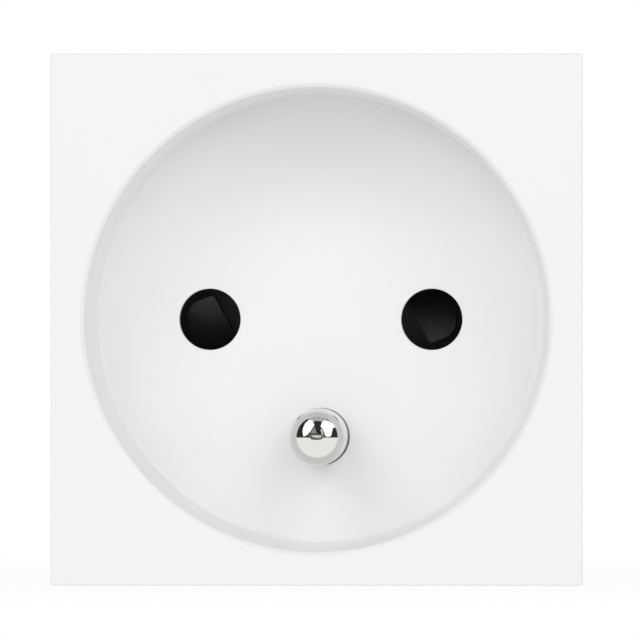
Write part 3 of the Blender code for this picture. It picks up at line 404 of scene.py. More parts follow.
def round_edges(bm: BMesh, edges: list[bmesh.types.BMEdge], radius: float, segments: int) -> None:
    """Round edges with a radius in a number of steps.

    Args:
        bm: The shape that the edges are in.
        edges: The edges.
        radius: The radius of their rounding.
        segments: Its number of steps.
    """
    bmesh.ops.bevel(
        bm, geom=edges, offset=radius, segments=segments, affect="EDGES", profile=0.5, material=-1
    )


def lathe(
    bm: BMesh, profile: Sequence[Point], facets: int, places: Iterable[Point] = ((0.0, 0.0),)
) -> None:
    """Turn a profile about the depth axis at each place, and close its open rings.

    Args:
        bm: The shape that the turned bodies are added to.
        profile: Points of (radius, depth).
        facets: Steps round a full turn.
        places: Where the axes stand, as (x, z).
    """
    for x, z in places:
        before = set(bm.verts)
        verts = [bm.verts.new((radius, depth, 0)) for radius, depth in profile]
        geom = verts + [bm.edges.new(pair) for pair in zip(verts, verts[1:])]
        turn = {"cent": (0, 0, 0), "axis": (0, 1, 0), "angle": 2 * math.pi, "steps": facets}
        bmesh.ops.spin(bm, geom=geom, use_merge=True, **turn)
        bmesh.ops.remove_doubles(bm, verts=fresh(bm, before), dist=MERGED)
        body = fresh(bm, before)
        rims = {edge for vert in body for edge in vert.link_edges if edge.is_boundary}
        bmesh.ops.holes_fill(bm, edges=list(rims), sides=0)
        faces = list({face for vert in body for face in vert.link_faces})
        bmesh.ops.recalc_face_normals(bm, faces=faces)
        bmesh.ops.translate(bm, verts=body, vec=(x, 0, z))


def block(bm: BMesh, low: Sequence[float], high: Sequence[float]) -> None:
    """Add a box between two corners.

    Args:
        bm: The shape that it is added to.
        low: Its lowest corner.
        high: Its highest corner.
    """
    low, high = Vector(low), Vector(high)
    matrix = Matrix.Translation((low + high) / 2) @ Matrix.Diagonal((*(high - low), 1))
    bmesh.ops.create_cube(bm, size=1, matrix=matrix)


def turned(profile: Sequence[Point], facets: int, places: Iterable[Point] = ((0.0, 0.0),)) -> BMesh:
    """A new shape of a profile turned about the depth axis at each place.

    Args:
        profile: Points of (radius, depth).
        facets: Steps round a full turn.
        places: Where the axes stand, as (x, z).

    Returns:
        The shape.
    """
    bm = bmesh.new()
    lathe(bm, profile, facets, places)
    return bm


def boxes(*ends: tuple[Corner, Corner]) -> BMesh:
    """A new shape of boxes, each between two corners.

    Args:
        ends: Lowest and highest corner of each box.

    Returns:
        The shape.
    """
    bm = bmesh.new()
    for low, high in ends:
        block(bm, low, high)
    return bm


def room(half: float, front: float, back: float) -> BMesh:
    """A square block about the axis, with its half width and its two depths."""
    return boxes(((-half, front, -half), (half, back, half)))


def drawn(bm: BMesh, base: Sequence[Vector], along: Vector) -> list[BMVert]:
    """Draw a flat outline out into a solid.

    Args:
        bm: The shape that it is added to.
        base: Points of the outline in space.
        along: The way from the outline to its copy.

    Returns:
        The moved vertices.
    """
    verts = [bm.verts.new(point) for point in base]
    face = bm.faces.new(verts)
    grown = bmesh.ops.extrude_face_region(bm, geom=[face], use_keep_orig=True)
    moved = [item for item in grown["geom"] if isinstance(item, BMVert)]
    bmesh.ops.translate(bm, verts=moved, vec=along)
    faces = list({face for vert in verts + moved for face in vert.link_faces})
    bmesh.ops.recalc_face_normals(bm, faces=faces)
    return moved


def prism(bm: BMesh, outline: Iterable[Point], front: float, back: float) -> list[BMVert]:
    """Draw an (x, z) outline from one depth to the other and return its front vertices."""
    base = [Vector((x, back, z)) for x, z in outline]
    return drawn(bm, base, Vector((0, front - back, 0)))


def arc(centre: Point, radius: float, start: float, end: float, steps: int) -> list[Point]:
    """Points of an arc between two angles in degrees, both ends included.

    Args:
        centre: The arc's centre.
        radius: Its radius.
        start: Its first angle.
        end: Its last angle.
        steps: The number of its steps.

    Returns:
        The points in order.
    """
    points = []
    for step in range(steps + 1):
        angle = math.radians(start + (end - start) * step / steps)
        points.append((centre[0] + radius * math.cos(angle), centre[1] + radius * math.sin(angle)))
    return points


def rounded(corners: Sequence[Corner], steps: int = 8, closed: bool = False) -> list[Vector]:
    """Round the corners of a path.

    Args:
        corners: Points of (a, b, radius).
        steps: Steps in each rounding.
        closed: Whether the last corner joins the first.

    Returns:
        The points of the rounded path.
    """
    points = []
    last = len(corners) - 1
    for index, (a, b, radius) in enumerate(corners):
        corner = Vector((a, b))
        if radius == 0 or (not closed and index in (0, last)):
            points.append(corner)
            continue
        before = (Vector(corners[index - 1][:2]) - corner).normalized()
        after = (Vector(corners[(index + 1) % len(corners)][:2]) - corner).normalized()
        half = before.angle(after) / 2
        centre = corner + (before + after).normalized() * radius / math.sin(half)
        reach = radius / math.tan(half)
        start = corner + before * reach - centre
        end = corner + after * reach - centre
        first = math.atan2(start.y, start.x)
        sweep = (math.atan2(end.y, end.x) - first + math.pi) % (2 * math.pi) - math.pi
        for step in range(steps + 1):
            angle = first + sweep * step / steps
            points.append(centre + radius * Vector((math.cos(angle), math.sin(angle))))
    return points


def corners_at(x: float, z: float) -> list[Point]:
    """The four places at one offset from the axis."""
    return [(side * x, level * z) for side in (-1, 1) for level in (-1, 1)]


def terminals() -> list[tuple[str, float, int]]:
    """Name, place across and way up of each terminal: +1 above the axis and -1 below it."""
    return [("line", -POLE_X, 1), ("neutral", POLE_X, 1), ("earth", 0.0, -1)]


SCREW_PLACES = corners_at(SCREW_OFFSET, SCREW_OFFSET)
POST_PLACES = corners_at(POST_X, POST_Z)
POLE_PLACES = [(-POLE_X, 0.0), (POLE_X, 0.0)]


@dataclass
class FrontCover:
    """White cover: flange, skirt and round well in one moulding."""

    flange: float = 0.0025
    flange_edge: float = 0.00014
    corner_radius: float = 0.00020
    skirt_half: float = 0.0212
    skirt_inner: float = 0.0200
    skirt_depth: float = 0.0182
    well_radius: float = 0.0200
    lip_width: float = 0.00035
    lip_depth: float = 0.0003
    lip_round: float = 0.00006
    draft: float = math.radians(1.9)
    floor_front: float = 0.0150
    fillet: float = 0.0005
    wall: float = 0.0012
    hole_radius: float = 0.002625
    earth_hole_radius: float = 0.00245
    earth_hole_shift: Point = (0.000026, -0.000037)
    hole_round: float = 0.00008
    earth_hole_round: float = 0.00003
    boss_radius: float = 0.0023
    screw_bore: float = 0.0014
    bore_end: float = 0.0080
    pivot_radius: float = 0.0022
    pivot_bore: float = 0.0011
    post_radius: float = 0.0015
    peg_radius: float = 0.0008
    stake_radius: float = 0.0014
    latch_x: float = 0.0120
    latch_half: float = 0.0025
    facets: int = 192

    def wall_radius(self, depth: float) -> float:
        """Radius of the drafted wall at a depth."""
        return self.well_radius - self.lip_width - (depth - self.lip_depth) * math.tan(self.draft)

    def body(self) -> Object:
        """Flange and skirt in one solid block, with an eased rim and eased corners.

        Returns:
            The piece, still solid.
        """
        bm = bmesh.new()
        half = MODULE_HALF
        block(bm, (-half, 0, -half), (half, self.flange, half))
        back = max(bm.faces, key=lambda face: face.calc_center_median().y)
        bmesh.ops.inset_region(bm, faces=[back], thickness=half - self.skirt_half, use_even_offset=True)
        grown = bmesh.ops.extrude_face_region(bm, geom=[back])
        verts = [item for item in grown["geom"] if isinstance(item, BMVert)]
        bmesh.ops.translate(bm, verts=verts, vec=(0, self.skirt_depth - self.flange, 0))
        bmesh.ops.delete(bm, geom=[back], context="FACES")
        outside = [
            edge for edge in bm.edges if all(abs(vert.co.x) > self.skirt_half + 1e-5 for vert in edge.verts)
        ]
        upright = [edge for edge in outside if edge.verts[0].co.y != edge.verts[1].co.y]
        round_edges(bm, upright, self.corner_radius, 6)
        rim = [edge for edge in bm.edges if all(abs(vert.co.y) < MERGED for vert in edge.verts)]
        round_edges(bm, rim, self.flange_edge, 6)
        bmesh.ops.recalc_face_normals(bm, faces=bm.faces)
        return new_piece("front_cover_body", bm)

    def cup(self) -> BMesh:
        """Outside of the well."""
        depths = (self.flange / 2, FLOOR_BACK)
        return turned([(self.wall_radius(depth) + self.wall, depth) for depth in depths], self.facets // 2)

    def cavity(self) -> BMesh:
        """Inside of the well: rounded lip, drafted wall, fillet and floor.

        Returns:
            The shape, in place.
        """
        lip = self.well_radius
        inner = lip - self.lip_width
        size = self.lip_round
        profile = [(lip + size + 3 * OVERSHOOT, -OVERSHOOT)]
        profile += [(lip + size * 0.8, 0.0), (lip, size * 0.35), (lip - size, size * 1.1)]
        profile += [(inner + size, self.lip_depth - size * 0.9), (inner + size * 0.3, self.lip_depth)]
        wall_start = self.lip_depth + size
        wall_end = self.floor_front - self.fillet
        for share in (0, 0.25, 0.5, 0.75):
            depth = wall_start + (wall_end - wall_start) * share
            profile.append((self.wall_radius(depth), depth))
        foot = self.wall_radius(wall_end)
        profile += arc((foot - self.fillet, wall_end), self.fillet, 0, 90, 8)
        return turned(profile, self.facets)

    def bosses(self) -> BMesh:
        """Screw bosses, shutter pivot and staked posts on the back.

        Returns:
            The shape, in place.
        """
        bm = bmesh.new()
        root = FLOOR_BACK - 0.001
        lathe(bm, [(self.boss_radius, self.flange / 2), (self.boss_radius, FLOOR_BACK)], 48, SCREW_PLACES)
        slope = 0.0001
        pivot = [(self.pivot_radius, root), (self.pivot_radius, SHUTTER_BACK - slope)]
        lathe(bm, pivot + [(self.pivot_radius - slope, SHUTTER_BACK)], 64)
        post_end = CARRIER_FRONT - CLEARANCE
        stake = CARRIER_BACK + CLEARANCE
        profile = [(self.post_radius, root), (self.post_radius, post_end)]
        profile += [(self.peg_radius, post_end), (self.peg_radius, stake), (self.stake_radius, stake)]
        profile += [(self.stake_radius, stake + 0.0003), (self.stake_radius - 0.0003, stake + 0.0006)]
        lathe(bm, profile, 40, POST_PLACES)
        return bm

    def bores(self) -> BMesh:
        """Pin holes with softly rounded rims, screw bores and pivot bore.

        Returns:
            The shape, in place.
        """
        bm = bmesh.new()
        front = self.floor_front
        back = FLOOR_BACK + OVERSHOOT
        places = [(*place, self.hole_radius, self.hole_round) for place in POLE_PLACES]
        across, up = self.earth_hole_shift
        places.append((across, EARTH_Z + up, self.earth_hole_radius, self.earth_hole_round))
        for x, z, radius, size in places:
            rim = [(radius + size + OVERSHOOT, front - OVERSHOOT), (radius + size, front)]
            rim += [(radius + size * 0.3, front + size * 0.4), (radius, front + size)]
            lathe(bm, rim + [(radius, back)], 96, [(x, z)])
        lathe(bm, [(self.screw_bore, self.bore_end), (self.screw_bore, back)], 40, SCREW_PLACES)
        lathe(bm, [(self.pivot_bore, FLOOR_BACK), (self.pivot_bore, SHUTTER_BACK + OVERSHOOT)], 40)
        return bm

    def latch_slots(self) -> BMesh:
        """U-shaped slots that free the four latch arms.

        Returns:
            The shape, in place.
        """
        bm = bmesh.new()
        front, slot, length, arm = 0.0035, 0.0008, 0.0105, self.latch_half
        back = front + slot + length
        outer = arm + slot
        outline = [(-outer, front), (outer, front), (outer, back), (arm, back)]
        outline += [(arm, front + slot), (-arm, front + slot), (-arm, back), (-outer, back)]
        depth = self.skirt_half - self.skirt_inner + 2 * OVERSHOOT
        for x, z in corners_at(self.latch_x, self.skirt_inner - OVERSHOOT):
            base = [Vector((x + across, y, z)) for across, y in outline]
            drawn(bm, base, Vector((0, 0, math.copysign(depth, z))))
        return bm

    def latch_hooks(self) -> BMesh:
        """Hooks on the latch arms, square to the flange and sloped to the rear.

        Returns:
            The shape, in place.
        """
        bm = bmesh.new()
        front, land, ramp = 0.0047, 0.0010, 0.0032
        root = self.skirt_half - (self.skirt_half - self.skirt_inner) / 2
        top = self.skirt_half + 0.0011
        outline = [(front, root), (front, top), (front + land, top)]
        outline += [(front + land + ramp, self.skirt_half), (front + land + ramp, root)]
        for x, level in corners_at(self.latch_x, 1):
            base = [Vector((x - self.latch_half, y, level * z)) for y, z in outline]
            drawn(bm, base, Vector((2 * self.latch_half, 0, 0)))
        return bm

    def build(self) -> None:
        """Mould the cover and put it in place."""
        cover = self.body()
        inside = room(self.skirt_inner, self.flange, self.skirt_depth + OVERSHOOT)
        combine(cover, Joining.CUT, inside)
        combine(cover, Joining.ADD, self.cup(), self.bosses())
        combine(cover, Joining.CUT, self.cavity(), self.bores(), self.latch_slots())
        combine(cover, Joining.ADD, self.latch_hooks())
        soften(cover)
        install(cover, "front_cover", Body.MODULE, WHITE)


@dataclass
class RearHousing:
    """Grey housing: a box that is open to the front, with a cell for each contact and terminal."""

    half: float = 0.0211
    inner: float = 0.0192
    tongue_front: float = 0.0173
    tongue_outer: float = 0.0197
    tongue_inner: float = 0.0187
    tongue_root: float = 0.0006
    corner_radius: float = 0.0010
    rear_radius: float = 0.0005
    partition: float = 0.0012
    floor_drop: float = 0.0060
    shelf_front: float = 0.0269
    lever_slot_half: float = 0.0014
    wire_hole: float = 0.0017
    funnel_mouth: float = 0.0020
    screw_bore: float = 0.0014
    counterbore: float = 0.0024
    counterbore_floor: float = 0.0368
    column_radius: float = 0.0030
    column_end: float = 0.0382

    def shell(self) -> Object:
        """Outside of the housing, with rounded corners and a softer rear rim.

        Returns:
            The piece, still solid.
        """
        bm = bmesh.new()
        half = self.half
        block(bm, (-half, HOUSING_FRONT, -half), (half, MODULE_DEPTH, half))
        upright = [edge for edge in bm.edges if edge.verts[0].co.y != edge.verts[1].co.y]
        round_edges(bm, upright, self.corner_radius, 8)
        rear = MODULE_DEPTH - 10 * MERGED
        rim = [edge for edge in bm.edges if all(vert.co.y > rear for vert in edge.verts)]
        round_edges(bm, rim, self.rear_radius, 5)
        return new_piece("rear_housing_body", bm)

    def partitions(self) -> BMesh:
        """Upright walls on both sides of each cell.

        Returns:
            The shape, in place.
        """
        walls = []
        front = CONTACT_FRONT + STRIP_THICKNESS
        for _, middle, level in terminals():
            foot = -self.floor_drop if level > 0 else SHELF_HEIGHT - self.partition
            low, high = sorted((level * foot, level * (self.inner + OVERSHOOT)))
            for side in (-1, 1):
                near, far = sorted(middle + side * (CELL_HALF + reach) for reach in (0, self.partition))
                walls.append(((near, front, low), (far, REAR_INNER + OVERSHOOT, high)))
        return boxes(*walls)

    def _between(self, middle: float, low: float, high: float) -> tuple[Corner, Corner]:
        """Corners of a wall between the partitions of one cell, with its two heights.

        Args:
            middle: The cell's middle across.
            low: The lower height.
            high: The upper height.

        Returns:
            Its lowest and its highest corner.
        """
        reach = CELL_HALF + self.partition / 2
        back = REAR_INNER + OVERSHOOT
        return (middle - reach, self.shelf_front, low), (middle + reach, back, high)

    def shelves(self) -> BMesh:
        """Shelves that carry the clamp springs.

        Returns:
            The shape, in place.
        """
        walls = []
        for _, middle, level in terminals():
            low, high = sorted((level * (SHELF_HEIGHT - self.partition), level * SHELF_HEIGHT))
            walls.append(self._between(middle, low, high))
        return boxes(*walls)

    def floors(self) -> BMesh:
        """Floors under the two live contacts."""
        low, high = -self.floor_drop, self.partition - self.floor_drop
        return boxes(*(self._between(middle, low, high) for middle, _ in POLE_PLACES))

    def openings(self) -> BMesh:
        """Wire holes with their funnels, lever slots, screw bores and counterbores.

        Returns:
            The shape, in place.
        """
        bm = bmesh.new()
        front = REAR_INNER - OVERSHOOT
        back = MODULE_DEPTH + OVERSHOOT
        funnel = [(self.wire_hole, front), (self.wire_hole, 0.0382), (0.00176, 0.03835)]
        funnel += [(0.00195, 0.03892), (self.funnel_mouth, MODULE_DEPTH), (self.funnel_mouth, back)]
        slot_x = LEVER_WIDTH / 2 + CLEARANCE
        for _, middle, level in terminals():
            wires = [(middle + side * WIRE_SPACING / 2, level * WIRE_Z) for side in (-1, 1)]
            lathe(bm, funnel, 64, wires)
            low, high = sorted(level * (LEVER_Z + side * self.lever_slot_half) for side in (-1, 1))
            block(bm, (middle - slot_x, front, low), (middle + slot_x, back, high))
        bore = [(self.screw_bore, self.tongue_front - OVERSHOOT), (self.screw_bore, self.counterbore_floor)]
        bore += [(self.counterbore, self.counterbore_floor), (self.counterbore, 0.0388)]
        bore += [(0.0026, MODULE_DEPTH), (0.0026, back)]
        lathe(bm, bore, 48, SCREW_PLACES)
        return bm

    def columns(self) -> BMesh:
        """Screw columns, slimmer inside the tongue.

        Returns:
            The shape, in place.
        """
        step = HOUSING_FRONT + self.tongue_root
        slim, wide = FrontCover.boss_radius, self.column_radius
        profile = [(slim, self.tongue_front), (slim, step), (wide, step), (wide, self.column_end)]
        return turned(profile, 48, SCREW_PLACES)

    def build(self) -> None:
        """Mould the housing and put it in place."""
        housing = self.shell()
        shoulder = HOUSING_FRONT + self.tongue_root
        combine(housing, Joining.ADD, room(self.tongue_outer, self.tongue_front, shoulder))
        mouth = room(self.tongue_inner, self.tongue_front - OVERSHOOT, shoulder + OVERSHOOT)
        combine(housing, Joining.CUT, mouth, room(self.inner, shoulder, REAR_INNER))
        combine(housing, Joining.ADD, self.columns(), self.partitions(), self.shelves(), self.floors())
        combine(housing, Joining.CUT, self.openings())
        soften(housing)
        install(housing, "rear_housing", Body.MODULE, GREY)


@dataclass
class Screw:
    """Pan-head screw that points to the front, with a thread and a cross recess sized by its head."""

    node: str
    shank: float
    head: float
    height: float
    tip: float
    seat: float
    x: float = 0.0
    z: float = 0.0
    pitch: float = 0.0006
    thread: float = 0.00016
    recess_half: float = 0.28
    recess_arm: float = 0.065
    recess_drop: float = 0.5
    recess_floor: float = 0.8

    def profile(self) -> list[Point]:
        """Tip, thread, shank and domed head.

        Returns:
            Points of (radius, depth), from the tip to the top of the head.
        """
        radius = self.shank / 2
        core = radius - self.thread
        points = [(core - CLEARANCE, self.tip), (core, self.tip + CLEARANCE)]
        depth = self.tip + 2 * CLEARANCE
        while depth < self.seat - 2 * self.pitch:
            points += [(core, depth), (radius, depth + self.pitch * 0.45)]
            points += [(radius, depth + self.pitch * 0.55)]
            depth += self.pitch
        points += [(core, depth), (core, self.seat)]
        rim = self.head / 2
        top = self.seat + self.height
        edge = self.height * 0.3
        points += [(rim, self.seat)]
        points += [(rim - edge + a, top - edge + b) for a, b in arc((0, 0), edge, 0, 78, 7)]
        return points

    def recess(self) -> BMesh:
        """Cross recess of the driver, narrower at its floor.

        Returns:
            The shape, at the screw's place.
        """
        bm = bmesh.new()
        half = self.head * self.recess_half
        arm = self.head * self.recess_arm
        outline = [(-half, -arm), (-arm, -arm), (-arm, -half), (arm, -half), (arm, -arm), (half, -arm)]
        outline += [(-x, -z) for x, z in outline]
        top = self.seat + self.height
        outline = [(self.x + across, self.z + up) for across, up in outline]
        floor = prism(bm, outline, top - self.height * self.recess_drop, top + OVERSHOOT)
        narrowing = Matrix.Diagonal((self.recess_floor, 1, self.recess_floor, 1))
        space = Matrix.Translation((-self.x, 0, -self.z))
        bmesh.ops.transform(bm, matrix=narrowing, verts=floor, space=space)
        return bm

    def build(self) -> None:
        """Turn the screw and put it in place."""
        item = new_piece(self.node, turned(self.profile(), 48, [(self.x, self.z)]))
        combine(item, Joining.CUT, self.recess())
        soften(item)
        install(item, self.node, Body.MODULE, ZINC)


@dataclass
class EarthPin:
    """Round-nosed earth pin with a collar behind the floor and a riveted end."""

    radius: float = 0.0024
    tip: float = 0.0010
    collar: float = 0.0035
    collar_front: float = 0.0173
    collar_back: float = 0.0191
    eased: float = 0.0001
    shank: float = 0.0015
    rivet: float = 0.0022
    rivet_front: float = 0.0203
    nose: float = 0.85
    facets: int = 128

    def build(self) -> None:
        """Turn the pin and put it in place."""
        nose = arc((0.0, 0.0), self.radius, -90, 0, 24)
        profile = [(across, self.tip + (depth + self.radius) * self.nose) for across, depth in nose]
        front, back, rim = self.collar_front, self.collar_back, self.collar
        profile += [(self.radius, front), (rim, front), (rim, back - self.eased), (rim - self.eased, back)]
        profile += [(self.shank, back), (self.shank, self.rivet_front)]
        dome = [(0.0, 0.0), (0.0, 0.0004), (self.eased, 0.0007), (0.0003, 0.0009), (self.rivet / 2, 0.0010)]
        profile += [(self.rivet - inwards, self.rivet_front + depth) for inwards, depth in dome]
        pin = new_piece("earth_pin", turned(profile, self.facets, [(0.0, EARTH_Z)]))
        soften(pin)
        install(pin, "earth_pin", Body.MODULE, NICKEL)


@dataclass
class Shutter:
    """Turning shutter with its spring, its carrier plate and the screw that holds them."""

    bore: float = 0.0025
    hub: float = 0.0047
    pocket: float = 0.0040
    pocket_floor: float = 0.0199
    notch_drop: float = 0.00003
    blade_front: float = 0.0205
    blade_radius: float = 0.0128
    blade_half_angle: float = 18.0
    ramp_end: float = 0.0002
    wire_radius: float = 0.0002
    coil_radius: float = 0.0033
    coil_pitch: float = 0.0005
    coil_turns: float = 2.5
    leg_reach: float = 0.0056

    def ramp(self) -> list[Vector]:
        """Outline of the right ramp: a slanted inner edge, a nose and a rounded heel.

        Returns:
            Its points as (x, z).
        """
        corners = [
            (POLE_X - 0.0024, 0.0021, 0.0),
            (POLE_X - 0.0002, -0.0021, 0.00035),
            (POLE_X + 0.0020, -0.0012, 0.0014),
            (POLE_X + 0.0021, 0.0027, 0.0),
        ]
        return rounded(corners, steps=12, closed=True)

    def build_rotor(self) -> None:
        """Mould the hub with its two blades and ramps, and put it in place."""
        profile = [(self.bore, SHUTTER_FRONT), (self.hub, SHUTTER_FRONT), (self.hub, SHUTTER_BACK)]
        profile += [(self.pocket, SHUTTER_BACK), (self.pocket, self.pocket_floor)]
        profile += [(self.bore, self.pocket_floor), (self.bore, SHUTTER_FRONT)]
        rotor = new_piece("shutter", turned(profile, 96))
        blades = bmesh.new()
        ramps = bmesh.new()
        spread = self.blade_half_angle
        inner = (self.hub + self.pocket) / 2
        outline = arc((0, 0), self.blade_radius, -spread, spread, 16)
        outline += arc((0, 0), inner, spread, -spread, 10)
        edge = self.ramp()
        low = min(point[1] for point in edge)
        high = max(point[1] for point in edge)
        rise = self.blade_front - self.ramp_end - SHUTTER_FRONT
        for turn in (Matrix.Identity(4), HALF_TURN):
            known = set(blades.verts)
            prism(blades, outline, self.blade_front, SHUTTER_BACK)
            bmesh.ops.transform(blades, matrix=turn, verts=fresh(blades, known))
            known = set(ramps.verts)
            for vert in prism(ramps, edge, SHUTTER_FRONT, SHUTTER_BACK - CLEARANCE * 2):
                vert.co.y = SHUTTER_FRONT + rise * (vert.co.z - low) / (high - low)
            bmesh.ops.transform(ramps, matrix=turn, verts=fresh(ramps, known))
        combine(rotor, Joining.ADD, blades, ramps)
        half = self.wire_radius + CLEARANCE
        low = (-half, self.pocket_floor - self.notch_drop, self.pocket - CLEARANCE)
        notch = boxes((low, (half, SHUTTER_BACK + OVERSHOOT, self.hub + OVERSHOOT)))
        combine(rotor, Joining.CUT, notch)
        soften(rotor, 0.00006)
        install(rotor, "shutter", Body.ROTOR, BLACK)

    def build_spring(self) -> None:
        """Wind the torsion spring round the pivot."""
        start = self.pocket_floor + CLEARANCE + self.wire_radius
        steps = 48
        points = [(0.0, start, self.leg_reach)]
        for step in range(round(self.coil_turns * steps) + 1):
            angle = math.pi / 2 + 2 * math.pi * step / steps
            x, z = self.coil_radius * math.cos(angle), self.coil_radius * math.sin(angle)
            points.append((x, start + self.coil_pitch * step / steps, z))
        points.append((points[-1][0], CARRIER_BACK, points[-1][2]))
        curve = bpy.data.curves.new("spring_path", "CURVE")
        curve.dimensions = "3D"
        curve.bevel_depth = self.wire_radius
        curve.bevel_resolution = 4
        curve.use_fill_caps = True
        spline = curve.splines.new("POLY")
        spline.points.add(len(points) - 1)
        for target, point in zip(spline.points, points):
            target.co = (*point, 1)
        path = placed("spring_path", curve)
        spring = placed("shutter_spring", finished_mesh(path))
        bpy.data.objects.remove(path)
        soften(spring)
        install(spring, "shutter_spring", Body.MODULE, STEEL)

    def build_carrier(self) -> None:
        """Mould the plate that closes the shutter's chamber."""
        half_x, half_z, radius = 0.0174, 0.0104, 0.0020
        corners = [(x * half_x, z * half_z, radius) for x, z in ((-1, -1), (1, -1), (1, 1), (-1, 1))]
        bm = bmesh.new()
        prism(bm, rounded(corners, closed=True), CARRIER_FRONT, CARRIER_BACK)
        carrier = new_piece("shutter_carrier", bm)
        holes = bmesh.new()
        front, back = CARRIER_FRONT - OVERSHOOT, CARRIER_BACK + OVERSHOOT
        leg = (0.0, -self.coil_radius)
        sizes = {0.0029: POLE_PLACES, 0.0011: [(0.0, 0.0), *POST_PLACES], 0.0005: [leg]}
        for radius, places in sizes.items():
            lathe(holes, [(radius, front), (radius, back)], 48, places)
        combine(carrier, Joining.CUT, holes)
        soften(carrier, 0.00008)
        install(carrier, "shutter_carrier", Body.MODULE, BLACK)

    def build(self) -> None:
        """Build the shutter's pieces."""
        self.build_rotor()
        self.build_spring()
        self.build_carrier()
        seat = CARRIER_BACK + CLEARANCE
        size = {"shank": 0.0016, "head": 0.0036, "height": 0.0012, "pitch": 0.0005, "thread": 0.00012}
        Screw("pivot_screw", tip=seat - 0.005, seat=seat, **size).build()


@dataclass
class Stamping:
    """A piece bent from one strip of sheet metal, laid along a path of (depth, height) corners."""

    node: str
    corners: Sequence[Corner]
    width: Callable[[Vector], float]
    thickness: float
    finish: Finish
    bow: Optional[Callable[[Vector], float]] = None
    x: float = 0.0
    flipped: bool = False
    longest: float = 0.0008
    columns: int = 6

    def path(self) -> list[Vector]:
        """The rounded path in short steps.

        Returns:
            Its points as (depth, height).
        """
        bends = rounded(self.corners, steps=8)
        points = [bends[0]]
        for start, end in zip(bends, bends[1:]):
            parts = max(1, math.ceil((end - start).length / self.longest))
            points += [start.lerp(end, part / parts) for part in range(1, parts + 1)]
        return points

    def sheet(self) -> Object:
        """The strip without its thickness, on the piece's own axes.

        Returns:
            The piece.
        """
        path = self.path()
        last = len(path) - 1
        bm = bmesh.new()
        bmesh.ops.create_grid(bm, x_segments=self.columns, y_segments=last, size=0.5)
        for vert in bm.verts:
            point = path[round((vert.co.y + 0.5) * last)]
            across = 2 * vert.co.x
            bow = self.bow(point) * (1 - across**2) if self.bow else 0.0
            height = point[1] + math.copysign(bow, point[1])
            vert.co = (self.x + across * self.width(point) / 2, point[0], height)
        bmesh.ops.recalc_face_normals(bm, faces=bm.faces)
        return new_piece(self.node, bm)

    def build(self, cutter: Optional[BMesh] = None) -> None:
        """Bend the strip, cut it and put it in place.

        Args:
            cutter: A shape to cut out of it, on the piece's own axes.
        """
        item = self.sheet()
        solid = item.modifiers.new("thickness", "SOLIDIFY")
        solid.thickness = self.thickness
        solid.offset = 0
        solid.use_even_offset = True
        item.data = finished_mesh(item)
        item.modifiers.clear()
        if cutter:
            combine(item, Joining.CUT, cutter)
        if self.flipped:
            item.data.transform(HALF_TURN)
        soften(item, 0.00004, 1)
        install(item, self.node, Body.MODULE, self.finish)


